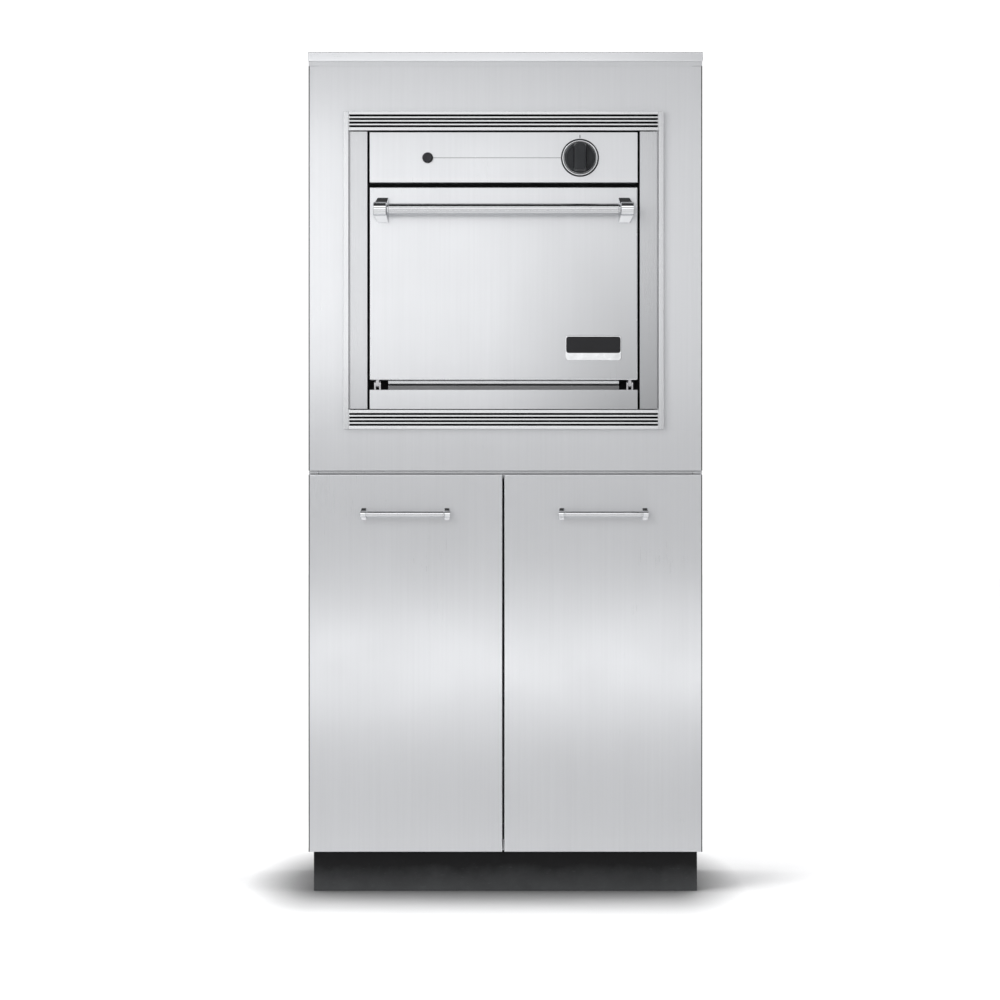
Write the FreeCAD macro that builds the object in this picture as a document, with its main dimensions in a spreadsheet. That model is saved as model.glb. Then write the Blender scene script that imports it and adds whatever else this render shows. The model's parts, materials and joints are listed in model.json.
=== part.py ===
import FreeCAD, Part
import os
import re
import Sketcher

# Tall free-standing outdoor oven cabinet: a stainless carcass on a black plinth, a built-in
# gas oven with a drop-down door above, and two hinged doors below.
# Frame: +Z up, front faces -Y, +X to the right; the origin is on the floor under the middle.

# ---------------------------------------------------------------- driving dimensions (mm)
DIMS = {
    # whole cabinet
    "width": 914.4, "height": 1952, "depth": 609.6, "reach": 80.4, "sheet": 1.5, "flange": 22,
    "cap_thick": 22, "cap_over": 1.5, "door_thick": 20, "door_gap": 4,
    # plinth and feet
    "plinth_high": 110.5, "plinth_in_side": 10.2, "plinth_in_front": 45, "plinth_in_back": 20,
    "plinth_wall": 2, "foot_in": 70, "foot_pad": 22, "foot_stem": 5, "foot_pad_high": 8,
    "foot_cone": 6,
    # openings and holes in the side and back panels
    "vent_in": 60, "vent_out": 260, "vent_high": 6, "vent_pitch": 18, "vent_low_z": 160,
    "vent_top_z": 1690,
    "side_vent_from": 150, "side_vent_to": 60, "side_vent_down": 110, "side_vent_pitch": 16,
    "pipe_hole": 22, "anchor_x": 300, "anchor_z": 1840, "anchor": 4,
    # heights of the carcass pieces
    "carcass_low": 94.7, "deck_low": 96.5, "deck_top": 112, "shelf_low": 1108, "shelf_top": 1138,
    "shelf_gap": 1, "top_rail_deep": 30, "top_rail_gap": 0.2,
    "rail_low": 975.2, "rail_top": 977.6, "rail_box_low": 962, "rail_box_top": 1000,
    "rail_box_deep": 36, "rail_in": 1, "seam": 0.5, "surround_low": 980, "surround_top": 1919,
    "top_rail_low": 1895,
    # lower doors
    "doors_low": 94.7, "doors_top": 970.8, "split": -5, "split_gap": 4.4, "lip": 4, "skin": 1.2,
    "axis_in": 7, "axis_back": 6, "hinge_pin": 3, "run": 0.05, "tab_thick": 3, "tab_half": 5.5,
    "bush_half": 5.6, "bush_high": 18, "tray_in": 45, "tray_deep": 6,
    "pull_z": 879, "pull_bar": 7, "pull_span": 98.5, "pull_reach": 34, "pull_wide": 13,
    "catch_x": 48, "catch_half": 14, "catch_out": 3.4, "catch_deep": 30, "catch_high": 14,
    "pin_short": 4, "bore_gap": 0.6, "pull_foot_half": 14, "pull_hub_half": 7.6, "pull_foot_thick": 3,
    # oven trim
    "oven_x": -4.3, "trim_half": 371, "trim_low": 1076.7, "trim_top": 1812.7, "trim_reach": 18,
    "strip_wide": 11.5, "groove": 3.5, "stile_in": 316, "stile_back": 6, "louvre_high": 44,
    "slot_high": 4.7, "slot_pitch": 8.35, "slot_end": 1.8, "window_half": 356, "window_low": 1090,
    "window_top": 1799, "web": 2, "stile_return": 5,
    "stile_gap": 2.3,
    "louvre_gap": 0.2,
    # oven front
    "oven_back": 1.6, "front_half": 310.4, "panel_low": 1648, "panel_top": 1764,
    "door_low": 1190.1, "door_top": 1636.9, "kick_low": 1122.5, "kick_top": 1167.3,
    "door_deep": 46, "gasket": 8, "gasket_gap": 0.5, "gasket_wide": 10, "panel_sheet": 1.5,
    # oven box
    "frame_half": 350, "frame_low": 1092, "frame_top": 1797, "frame_thick": 3,
    "mouth_half": 265, "mouth_low": 1236, "mouth_top": 1580,
    "casing_half": 318, "casing_top": 1625, "casing_deep": 460, "casing_sheet": 1.2,
    "liner_half": 278, "liner_low": 1178, "liner_top": 1587, "liner_deep": 420,
    "floor_top": 1234, "floor_gap": 4, "floor_sheet": 2, "floor_side": 6, "floor_slot_in": 165,
    "floor_slot_out": 235, "floor_slot_first": 40, "floor_slot_wide": 8,
    "rack_low": 1325, "rack_high": 1450, "rack_rod": 3,
    "rack_wire": 2, "rack_half": 262, "rack_front": 28, "rack_deep": 372, "guide_rod": 3,
    "wire_pitch": 20.5, "guide_gap": 0.4, "guide_out": 7, "guide_end": 10, "post_out": 11,
    "post_in": 40,
    # oven door hinge and handle
    "axis_down": 10, "axis_deep": 10, "oven_pin": 4, "eye": 7, "arm_x": 292.5, "arm_half": 3.5,
    "ear_gap": 0.5, "ear_thick": 3.5, "handle_z": 1583, "handle_bar": 12.7,
    "handle_span": 284.8, "bracket_wide": 31.5, "bracket_foot_half": 29, "bracket_hub_half": 15,
    "bracket_foot_thick": 5, "badge_x": 208, "badge_z": 1264, "badge_wide": 130,
    "badge_high": 58, "badge_thick": 2.5, "sill_half": 268, "sill_front": 9, "sill_recess": 13,
    "sill_gap": 1.2, "sill_lip": 7, "sill_groove": 13, "oven_tray_in": 25, "oven_tray_deep": 8,
    "wool_gap": 12, "gasket_over": 16,
    # controls
    "knob_x": 177, "button_x": -176, "control_z": 1705, "knob_rim": 35, "knob_deep": 34,
    "knob_skirt": 12, "knob_lift": 6, "grip_half": 13.5, "grip_long": 33, "bezel_out": 43.5,
    "bezel_in": 37, "bezel_thick": 4, "stem": 4, "button_rim": 10.6, "button_out": 12.4,
    "button_high": 10, "button_ring": 5, "button_hole": 6, "button_stem": 4,
    "button_stem_long": 62, "button_base": 4.6, "module_half": 34, "module_deep": 42,
    "module_down": 24, "module_up": 30, "knob_bore": 16, "stem_end": 6, "collar_wide": 3,
    "collar_thick": 4, "collar_in": 20, "valve": 18, "valve_long": 40, "valve_recess": 12,
    # gas train
    "pipe": 10.67, "riser_x": 400, "riser_back": 50, "inlet_z": 300, "inlet_end": 2,
    "elbow": 15, "valve_y": 28, "tube": 5, "burner_z": 1208, "burner": 18, "mixer": 12,
    "supply_gap": 25, "nozzle": 9, "nozzle_back": 14, "regulator": 40, "regulator_neck": 20,
    "regulator_high": 60, "regulator_z": 640, "burner_front": 40, "burner_long": 320,
    "port": 1.6, "port_pitch": 20, "electrode_x": 40, "electrode_y": 70,
}

# Lengths worked out from the driving dimensions.
NAMED = {
    "half": "width/2", "back_y": "(depth+reach)/2", "face_y": "back_y-depth",
    "carcass_y": "face_y+door_thick+door_gap", "cap_low": "height-cap_thick",
    "trim_y": "face_y-trim_reach", "stile_y": "trim_y+stile_back", "oven_y": "trim_y+oven_back",
    "inner_y": "oven_y+door_deep", "frame_y": "inner_y+gasket+gasket_gap",
    "box_y": "frame_y+frame_thick", "axis_y": "oven_y+axis_deep", "axis_z": "door_low-axis_down",
    "ox": "oven_x", "strip_in": "trim_half-strip_wide", "stile_out": "strip_in-groove",
    "lower_louvre_top": "trim_low+louvre_high", "upper_louvre_low": "trim_top-louvre_high",
    "hinge_x": "half-axis_in", "hinge_y": "face_y+door_thick-axis_back",
    "riser_y": "back_y-riser_back", "front_pipe_y": "box_y+valve_y",
}

doc = FreeCAD.newDocument("OvenCabinet")
sheet = doc.addObject("Spreadsheet::Sheet", "Dims")
for row, (alias, number) in enumerate(DIMS.items(), start=1):
    sheet.set(f"A{row}", alias)
    sheet.set(f"B{row}", str(number))
    sheet.setAlias(f"B{row}", alias)
doc.recompute()

BADGE_CORNER = 8
MODULE_CORNER = 3
CAP_CORNER = 3.0
NODES = {}          # node name -> document object whose shape is written to a STEP file


def formula(text):
    """Turn a short formula of dimension names into one that points at the sheet's cells."""
    def swap(match):
        word = match.group(0)
        return f"({formula(NAMED[word])})" if word in NAMED else f"Dims.{word}"
    return re.sub(r"[a-z_]+", swap, str(text))


def bind(thing, prop, text):
    thing.setExpression(prop, formula(text))


def keep(label, thing):
    """Name a sub-part and put it on the list of nodes."""
    thing.Label = label
    NODES[label] = thing
    return thing


# ---------------------------------------------------------------- ways of making a solid
def new_body(name):
    body = doc.addObject("PartDesign::Body", name)
    body.AllowCompound = True
    return body


def origin_plane(body, plane):
    return next(f for f in body.Origin.OriginFeatures if f.Role == plane + "_Plane")


def draw(body, plane, level, loops=(), circles=()):
    """A sketch parallel to one of the body's origin planes, every point tied to the sheet."""
    sketch = body.newObject("Sketcher::SketchObject", body.Name + "_Sketch")
    sketch.AttachmentSupport = [(origin_plane(body, plane), "")]
    sketch.MapMode = "FlatFace"
    bind(sketch, "AttachmentOffset.Base.z", f"-({level})" if plane == "XZ" else level)
    constraints = []

    def fix(kind, geometry, point, text):
        constraints.append((Sketcher.Constraint(kind, -1, 1, geometry, point, 1.0), text))

    for loop in loops:
        first, count = sketch.GeometryCount, len(loop)
        for i in range(count):
            start = FreeCAD.Vector(i, i * i, 0)
            end = FreeCAD.Vector((i + 1) % count, ((i + 1) % count) ** 2, 0)
            sketch.addGeometry(Part.LineSegment(start, end), False)
        for i, (across, up) in enumerate(loop):
            previous = first + (i - 1) % count
            constraints.append((Sketcher.Constraint("Coincident", previous, 2, first + i, 1), ""))
            fix("DistanceX", first + i, 1, across)
            fix("DistanceY", first + i, 1, up)
    for across, up, radius in circles:
        ring = sketch.addGeometry(
            Part.Circle(FreeCAD.Vector(0, 0, 0), FreeCAD.Vector(0, 0, 1), 1), False)
        fix("DistanceX", ring, 3, across)
        fix("DistanceY", ring, 3, up)
        constraints.append((Sketcher.Constraint("Radius", ring, 1.0), radius))
    for constraint, text in constraints:
        index = sketch.addConstraint(constraint)
        if text != "":
            bind(sketch, f"Constraints[{index}]", text)
    return sketch


def pad(body, plane, low, high, loops=(), circles=()):
    """Add material between two levels along the plane's axis."""
    sketch = draw(body, plane, high if plane == "XZ" else low, loops, circles)
    feature = body.newObject("PartDesign::Pad", body.Name + "_Pad")
    feature.Profile = sketch
    bind(feature, "Length", f"({high})-({low})")
    return feature


def pocket(body, plane, low, high, loops=(), circles=()):
    """Remove material between two levels along the plane's axis."""
    sketch = draw(body, plane, low if plane == "XZ" else high, loops, circles)
    feature = body.newObject("PartDesign::Pocket", body.Name + "_Pocket")
    feature.Profile = sketch
    bind(feature, "Length", f"({high})-({low})")
    return feature


def repeat(body, feature, axis, step, count):
    """Repeat a feature along one of the body's axes."""
    pattern = body.newObject("PartDesign::LinearPattern", body.Name + "_Pattern")
    pattern.Originals = [feature]
    pattern.Direction = (next(f for f in body.Origin.OriginFeatures if f.Role == axis), [""])
    pattern.Occurrences = count
    bind(pattern, "Length", f"({step})*{count - 1}")
    body.Tip = pattern
    return pattern


def rect(left, right, low, top):
    return [(left, low), (right, low), (right, top), (left, top)]


def plate(name, plane, low, high, loops, circles=()):
    body = new_body(name)
    pad(body, plane, low, high, loops, circles)
    return body


def round_edges(body, radius, wanted):
    """Fillet the edges of the last feature for which wanted(edge) is true."""
    doc.recompute()
    base = body.Tip
    names = [f"Edge{i}" for i, edge in enumerate(base.Shape.Edges, start=1) if wanted(edge)]
    fillet = body.newObject("PartDesign::Fillet", body.Name + "_Fillet")
    fillet.Base = (base, names)
    fillet.Radius = radius
    return fillet


def along(axis):
    """A test for straight edges that run along an axis, 0 for X, 1 for Y and 2 for Z."""
    def wanted(edge):
        if edge.Curve.TypeId != "Part::GeomLine":
            return False
        return abs(abs(edge.Curve.Direction[axis]) - 1) < 1e-6
    return wanted


def block(name, x, y, z):
    """A plain box between two formulas on each axis."""
    box = doc.addObject("Part::Box", name)
    for (low, high), side, letter in zip((x, y, z), ("Length", "Width", "Height"), "xyz"):
        bind(box, side, f"({high})-({low})")
        bind(box, f"Placement.Base.{letter}", low)
    return box


def rod(name, axis, start, length, radius):
    """A round bar from a start point along +X, +Y or +Z."""
    bar = doc.addObject("Part::Cylinder", name)
    turn = {"X": ((0, 1, 0), 90), "Y": ((1, 0, 0), -90), "Z": ((0, 0, 1), 0)}[axis]
    bar.Placement = FreeCAD.Placement(
        FreeCAD.Vector(0, 0, 0), FreeCAD.Rotation(FreeCAD.Vector(*turn[0]), turn[1]))
    bind(bar, "Radius", radius)
    bind(bar, "Height", length)
    for text, letter in zip(start, "xyz"):
        bind(bar, f"Placement.Base.{letter}", text)
    return bar


def ball(name, centre, radius):
    knot = doc.addObject("Part::Sphere", name)
    bind(knot, "Radius", radius)
    for text, letter in zip(centre, "xyz"):
        bind(knot, f"Placement.Base.{letter}", text)
    return knot


def cut(name, base, *tools):
    for tool in tools:
        result = doc.addObject("Part::Cut", name)
        result.Base, result.Tool = base, tool
        base = result
    return base


def fuse(name, *parts):
    joined = doc.addObject("Part::MultiFuse", name)
    joined.Shapes = list(parts)
    return joined


def group(name, *parts):
    """Separate solids of one kind that share a node."""
    held = doc.addObject("Part::Compound", name)
    held.Links = list(parts)
    return held


def mirror(name, source, about="0"):
    twin = doc.addObject("Part::Mirroring", name)
    twin.Source = source
    twin.Normal = (1, 0, 0)
    bind(twin, "Base.x", about)
    return twin


def turned(name, profile, centre, towards="Z"):
    """A turned piece: (radius, height) points spun about the height axis, then aimed."""
    body = new_body(name)
    sketch = draw(body, "XZ", "0", [profile])
    spin = body.newObject("PartDesign::Revolution", name + "_Spin")
    spin.Profile = sketch
    spin.ReferenceAxis = (sketch, ["V_Axis"])
    spin.Angle = 360
    turn = {"Z": 0, "-Y": 90, "Y": -90}[towards]
    body.Placement = FreeCAD.Placement(
        FreeCAD.Vector(0, 0, 0), FreeCAD.Rotation(FreeCAD.Vector(1, 0, 0), turn))
    for text, letter in zip(centre, "xyz"):
        bind(body, f"Placement.Base.{letter}", text)
    return body


# ---------------------------------------------------------------- plinth and feet
def make_plinth():
    outer = rect("plinth_in_side-half", "half-plinth_in_side",
                 "face_y+plinth_in_front", "back_y-plinth_in_back")
    inner = rect("plinth_in_side-half+plinth_wall", "half-plinth_in_side-plinth_wall",
                 "face_y+plinth_in_front+plinth_wall", "back_y-plinth_in_back-plinth_wall")
    keep("plinth", plate("Plinth", "XY", "0", "plinth_high", [outer, inner]))


def make_feet():
    feet = []
    for side in ("-", ""):
        for depth in ("face_y+plinth_in_front+foot_in", "back_y-plinth_in_back-foot_in"):
            profile = [("0", "0"), ("foot_pad", "0"), ("foot_pad", "foot_pad_high"),
                       ("foot_stem*2", "foot_pad_high+foot_cone"),
                       ("foot_stem", "foot_pad_high+foot_cone"),
                       ("foot_stem", "plinth_high"), ("0", "plinth_high")]
            feet.append(turned("Foot", profile, (f"{side}(half-foot_in)", depth, "0")))
    keep("levelling_feet", group("Feet", *feet))


# ---------------------------------------------------------------- carcass
def make_side_panels():
    """A folded side sheet with an inward flange at the front and at the back."""
    outline = [("-half", "carcass_y"), ("flange-half", "carcass_y"),
               ("flange-half", "carcass_y+sheet"), ("sheet-half", "carcass_y+sheet"),
               ("sheet-half", "back_y-sheet"), ("flange-half", "back_y-sheet"),
               ("flange-half", "back_y"), ("-half", "back_y")]
    left = plate("SideLeft", "XY", "carcass_low", "cap_low", [outline])
    slot = pocket(left, "YZ", "-half", "sheet-half",
                  [rect("back_y-side_vent_from", "back_y-side_vent_to",
                        "cap_low-side_vent_down", "cap_low-side_vent_down+vent_high")])
    repeat(left, slot, "Z_Axis", "side_vent_pitch", 5)
    keep("side_panel_left", left)
    keep("side_panel_right", mirror("SideRight", left))


def make_back_panel():
    """The back sheet: four groups of air slots, the pipe hole and two anchor holes."""
    front, rear = "back_y-sheet*2", "back_y-sheet"
    back = plate("Back", "XZ", front, rear,
                 [rect("sheet*2-half", "half-sheet*2", "deck_top", "cap_low-sheet")])
    for low in ("vent_low_z", "vent_top_z"):
        slot = pocket(back, "XZ", front, rear,
                      [rect("-vent_out", "-vent_in", low, f"{low}+vent_high"),
                       rect("vent_in", "vent_out", low, f"{low}+vent_high")])
        repeat(back, slot, "Z_Axis", "vent_pitch", 6)
    pocket(back, "XZ", front, rear,
           circles=[("riser_x", "inlet_z", "pipe_hole"), ("-anchor_x", "anchor_z", "anchor"),
                    ("anchor_x", "anchor_z", "anchor")])
    keep("back_panel", back)


def make_deck_and_shelf():
    wide = ("sheet-half", "half-sheet")
    inner = ("sheet*2-half", "half-sheet*2")
    deck = cut("Deck", block("DeckOuter", wide, ("carcass_y+sheet", "back_y-sheet*2"),
                             ("deck_low", "deck_top")),
               block("DeckHollow", inner, ("carcass_y+sheet*2", "back_y-sheet*3"),
                     ("deck_low-1", "deck_top-sheet")))
    keep("bottom_deck", deck)
    shelf = cut("Shelf", block("ShelfOuter", wide, ("box_y+shelf_gap", "back_y-sheet*2"),
                               ("shelf_low", "shelf_top")),
                block("ShelfHollow", inner, ("box_y+shelf_gap+sheet", "back_y-sheet*3"),
                      ("shelf_low-1", "shelf_top-sheet")),
                rod("ShelfPipeHole", "Z", ("riser_x", "riser_y", "shelf_low-5"),
                    "shelf_top-shelf_low+10", "pipe+3"))
    keep("oven_shelf", shelf)


def make_top_and_rails():
    cap = cut("Cap", block("CapOuter", ("-half-cap_over", "half+cap_over"),
                           ("face_y-cap_over", "back_y"), ("cap_low", "height")),
              block("CapHollow", ("sheet-half", "half-sheet"), ("face_y+sheet", "back_y-sheet"),
                    ("cap_low-1", "height-sheet")))
    rounded = doc.addObject("Part::Fillet", "CapRounded")
    doc.recompute()
    rounded.Base = cap
    box = cap.Shape.BoundBox
    rounded.Edges = [
        (i, CAP_CORNER, CAP_CORNER) for i, edge in enumerate(cap.Shape.Edges, start=1)
        if along(2)(edge) and min(abs(edge.CenterOfMass.x - box.XMin),
                                  abs(edge.CenterOfMass.x - box.XMax)) < 0.1]
    keep("top_cap", rounded)
    front, rear = "face_y+sheet+top_rail_gap", "carcass_y+top_rail_deep"
    top = [(front, "top_rail_low"), (rear, "top_rail_low"), (rear, "top_rail_low+sheet"),
           (f"{front}+sheet", "top_rail_low+sheet"), (f"{front}+sheet", "cap_low-sheet"),
           (rear, "cap_low-sheet"), (rear, "cap_low"), (front, "cap_low")]
    rail = plate("TopRail", "YZ", "flange-half+1", "half-flange-1", [top])
    band = ("surround_top+seam", "cap_low")
    pad(rail, "XZ", front, f"{front}+sheet", [rect("-half", "half", *band)])
    pad(rail, "XZ", front, "carcass_y", [rect("-half", "sheet-half", *band),
                                         rect("half-sheet", "half", *band)])
    keep("top_rail", rail)
    middle = [("face_y+rail_in", "rail_low"), ("carcass_y", "rail_low"), ("carcass_y", "rail_box_low"),
              ("carcass_y+rail_box_deep", "rail_box_low"),
              ("carcass_y+rail_box_deep", "rail_box_low+sheet"),
              ("carcass_y+sheet", "rail_box_low+sheet"), ("carcass_y+sheet", "rail_box_top"),
              ("carcass_y", "rail_box_top"), ("carcass_y", "rail_top"), ("face_y+rail_in", "rail_top")]
    rail = plate("MidRail", "YZ", "flange-half+1", "half-flange-1", [middle])
    pad(rail, "YZ", "-half", "half", [rect("face_y+rail_in", "carcass_y-seam", "rail_low", "rail_top")])
    keep("mid_rail", rail)


def make_surround():
    """The folded face panel around the oven, open where the oven goes in."""
    body = new_body("Surround")
    outer = rect("-half", "half", "surround_low", "surround_top")
    pad(body, "XZ", "face_y", "carcass_y", [outer])
    pocket(body, "XZ", "face_y+sheet", "carcass_y",
           [rect("sheet-half", "half-sheet", "surround_low+sheet", "surround_top-sheet")])
    window = rect("ox-window_half", "ox+window_half", "window_low", "window_top")
    pocket(body, "XZ", "face_y", "carcass_y", [window])
    room = rect("flange-half", "half-flange", "top_rail_low-3", "surround_top+1")
    pocket(body, "XZ", "face_y+sheet", "carcass_y", [room])
    keep("surround_panel", body)


def make_catches():
    """Two catch blocks under the middle rail, one for each door."""
    left, right = [
        block("Catch", (f"split{side}catch_x-catch_half", f"split{side}catch_x+catch_half"),
              ("carcass_y-catch_out", "carcass_y+catch_deep"),
              ("rail_box_low-catch_high", "rail_box_low"))
        for side in "-+"]
    keep("magnetic_catches", group("Catches", left, right))


# ---------------------------------------------------------------- lower doors
def make_brackets():
    """Four tabs fixed to the carcass, each with a pin that stands into a door's end."""
    pieces = []
    for side in ("-", ""):
        x_mid = f"{side}hinge_x"
        for tab_low, pin_low, pin_high in (
                ("doors_low+seam", "doors_low+seam", "doors_low+lip+bush_high-pin_short"),
                ("doors_top-seam-tab_thick", "doors_top-lip-bush_high+pin_short", "doors_top-seam")):
            tab = block("Tab", (f"{x_mid}-tab_half", f"{x_mid}+tab_half"),
                        ("hinge_y-tab_half", "carcass_y"), (tab_low, f"{tab_low}+tab_thick"))
            pin = rod("HingePin", "Z", (x_mid, "hinge_y", pin_low),
                      f"({pin_high})-({pin_low})", "hinge_pin")
            pieces.append(fuse("DoorBracket", tab, pin))
    keep("hinge_brackets", group("Brackets", *pieces))


def bracket(name, x_mid, wide, z_mid, front, reach, foot_half, hub_half, foot_thick):
    """A handle bracket: a foot on the door, a tapered neck and a round hub."""
    body = new_body(name)
    low, high = f"{x_mid}-{wide}/2", f"{x_mid}+{wide}/2"
    hub_y = f"{front}-{reach}+{hub_half}"
    neck = [(front, f"{z_mid}-{foot_half}"), (f"{front}-{foot_thick}", f"{z_mid}-{foot_half}"),
            (f"{front}-{reach}*0.30", f"{z_mid}-{hub_half}*1.05"),
            (hub_y, f"{z_mid}-{hub_half}*0.97"), (hub_y, f"{z_mid}+{hub_half}*0.97"),
            (f"{front}-{reach}*0.30", f"{z_mid}+{hub_half}*1.05"),
            (f"{front}-{foot_thick}", f"{z_mid}+{foot_half}"), (front, f"{z_mid}+{foot_half}")]
    pad(body, "YZ", low, high, [neck])
    pad(body, "YZ", low, high, circles=[(hub_y, z_mid, hub_half)])
    return body


def make_door(side, free_x, hinge_side_x, turn):
    """One cabinet door: folded skin, inner pan, pivot bushes, pull bar and its posts."""
    left, right = (hinge_side_x, free_x) if side == "left" else (free_x, hinge_side_x)
    skin = new_body("Skin")
    pad(skin, "XZ", "face_y", "face_y+skin", [rect(left, right, "doors_low", "doors_top")])
    box = rect(left, right, "doors_low+lip", "doors_top-lip")
    hollow = rect(f"{left}+skin", f"{right}-skin", "doors_low+lip+skin", "doors_top-lip-skin")
    pad(skin, "XZ", "face_y+skin", "face_y+door_thick", [box, hollow])
    axis_x = f"{turn}hinge_x"
    pocket(skin, "XY", "doors_low+lip-1", "doors_low+lip+skin+1",
           circles=[(axis_x, "hinge_y", "hinge_pin+bore_gap")])
    pocket(skin, "XY", "doors_top-lip-skin-1", "doors_top-lip+1",
           circles=[(axis_x, "hinge_y", "hinge_pin+bore_gap")])
    keep(f"door_skin_{side}", skin)

    pan = new_body("Pan")
    sides = (f"{left}+skin", f"{right}-skin", "doors_low+lip+skin", "doors_top-lip-skin")
    pad(pan, "XZ", "face_y+door_thick-skin", "face_y+door_thick", [rect(*sides)])
    tray = [f"{left}+tray_in", f"{right}-tray_in", "doors_low+tray_in", "doors_top-tray_in"]
    pad(pan, "XZ", "face_y+door_thick-skin-tray_deep", "face_y+door_thick-skin", [rect(*tray)])
    tray = [f"{tray[0]}+skin", f"{tray[1]}-skin", f"{tray[2]}+skin", f"{tray[3]}-skin"]
    pocket(pan, "XZ", "face_y+door_thick-tray_deep", "face_y+door_thick", [rect(*tray)])
    keep(f"door_pan_{side}", pan)

    bushes = []
    for low in ("doors_low+lip+skin", "doors_top-lip-skin-bush_high"):
        square = rect(f"{axis_x}-bush_half", f"{axis_x}+bush_half",
                      "hinge_y-bush_half", "face_y+door_thick-skin")
        bushes.append(plate("Bush", "XY", low, f"{low}+bush_high", [square],
                            [(axis_x, "hinge_y", "hinge_pin+run")]))
    keep(f"door_bushes_{side}", group("Bushes", *bushes))

    middle = f"(({left})+({right}))/2"
    pull = "face_y-pull_reach+pull_hub_half"
    bar = rod("PullBar", "X", (f"{middle}-pull_span+pull_wide/2", pull, "pull_z"),
              "pull_span*2-pull_wide", "pull_bar")
    keep(f"pull_bar_{side}", bar)
    posts = [bracket("PullPost", f"{middle}{sign}pull_span", "pull_wide", "pull_z", "face_y",
                     "pull_reach", "pull_foot_half", "pull_hub_half", "pull_foot_thick")
             for sign in "-+"]
    keep(f"pull_posts_{side}", group("PullPosts", *posts))


# ---------------------------------------------------------------- oven trim
def make_trim():
    """Side trims: an outer strip, a groove and a recessed stile, folded from one sheet."""
    left = new_body("TrimLeft")
    pad(left, "XY", "trim_low", "trim_top",
        [rect("ox-trim_half", "ox-strip_in", "trim_y", "face_y")])
    stile_z = ("lower_louvre_top+stile_gap", "upper_louvre_low-stile_gap")
    pad(left, "XY", *stile_z, [rect("ox-strip_in", "ox-stile_out", "face_y-web", "face_y")])
    stile = [("ox-stile_out", "stile_y"), ("ox-stile_in", "stile_y"),
             ("ox-stile_in", "carcass_y+stile_return"), ("ox-stile_in-web", "carcass_y+stile_return"),
             ("ox-stile_in-web", "stile_y+web"), ("ox-stile_out+web", "stile_y+web"),
             ("ox-stile_out+web", "face_y"), ("ox-stile_out", "face_y")]
    pad(left, "XY", *stile_z, [stile])
    keep("side_trim_left", left)
    keep("side_trim_right", mirror("TrimRight", left, "ox"))


def make_louvre(name, low):
    """A grille of four long slots between five thin bars."""
    body = new_body("Louvre")
    pad(body, "XZ", "trim_y", "face_y",
        [rect("ox-strip_in+louvre_gap", "ox+strip_in-louvre_gap", low, f"{low}+louvre_high")])
    first = f"{low}+(louvre_high-slot_pitch*3-slot_high)/2"
    slot = pocket(body, "XZ", "trim_y", "face_y",
                  [rect("ox-strip_in+slot_end", "ox+strip_in-slot_end", first,
                        f"{first}+slot_high")])
    repeat(body, slot, "Z_Axis", "slot_pitch", 4)
    keep(name, body)


# ---------------------------------------------------------------- oven front
def make_front_frame():
    mouth = rect("ox-mouth_half", "ox+mouth_half", "mouth_low", "mouth_top")
    outer = rect("ox-frame_half", "ox+frame_half", "frame_low", "frame_top")
    body = plate("FrontFrame", "XZ", "frame_y", "box_y", [outer, mouth],
                 [("ox+knob_x", "control_z", "stem+2"), ("ox+button_x", "control_z", "button_hole")])
    keep("front_frame", body)


def front_pan(name, low, top, deep):
    """A shallow folded pan that faces forward."""
    body = new_body(name)
    pad(body, "XZ", "oven_y", deep, [rect("ox-front_half", "ox+front_half", low, top)])
    inner = rect("ox-front_half+panel_sheet", "ox+front_half-panel_sheet",
                 f"{low}+panel_sheet", f"{top}-panel_sheet")
    pocket(body, "XZ", "oven_y+panel_sheet", deep, [inner])
    return body


def make_panel_and_kick():
    panel = front_pan("Panel", "panel_low", "panel_top", "frame_y")
    pocket(panel, "XZ", "oven_y", "oven_y+panel_sheet",
           circles=[("ox+knob_x", "control_z", "stem+2"), ("ox+button_x", "control_z", "button_hole")])
    keep("control_panel", panel)
    keep("kick_strip", front_pan("Kick", "kick_low", "kick_top", "frame_y"))
    lip, groove = "door_low-sill_gap-sill_lip", "door_low-sill_groove"
    front, recess, rear = "axis_y+sill_front", "axis_y+sill_recess", "frame_y"
    sill = [(front, lip), (front, "door_low-sill_gap"), (rear, "door_low-sill_gap"),
            (rear, "kick_top"), (recess, "kick_top"), (recess, groove), ("frame_y-4", groove),
            ("frame_y-4", lip)]
    keep("door_sill", plate("Sill", "YZ", "ox-sill_half", "ox+sill_half", [sill]))


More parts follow.
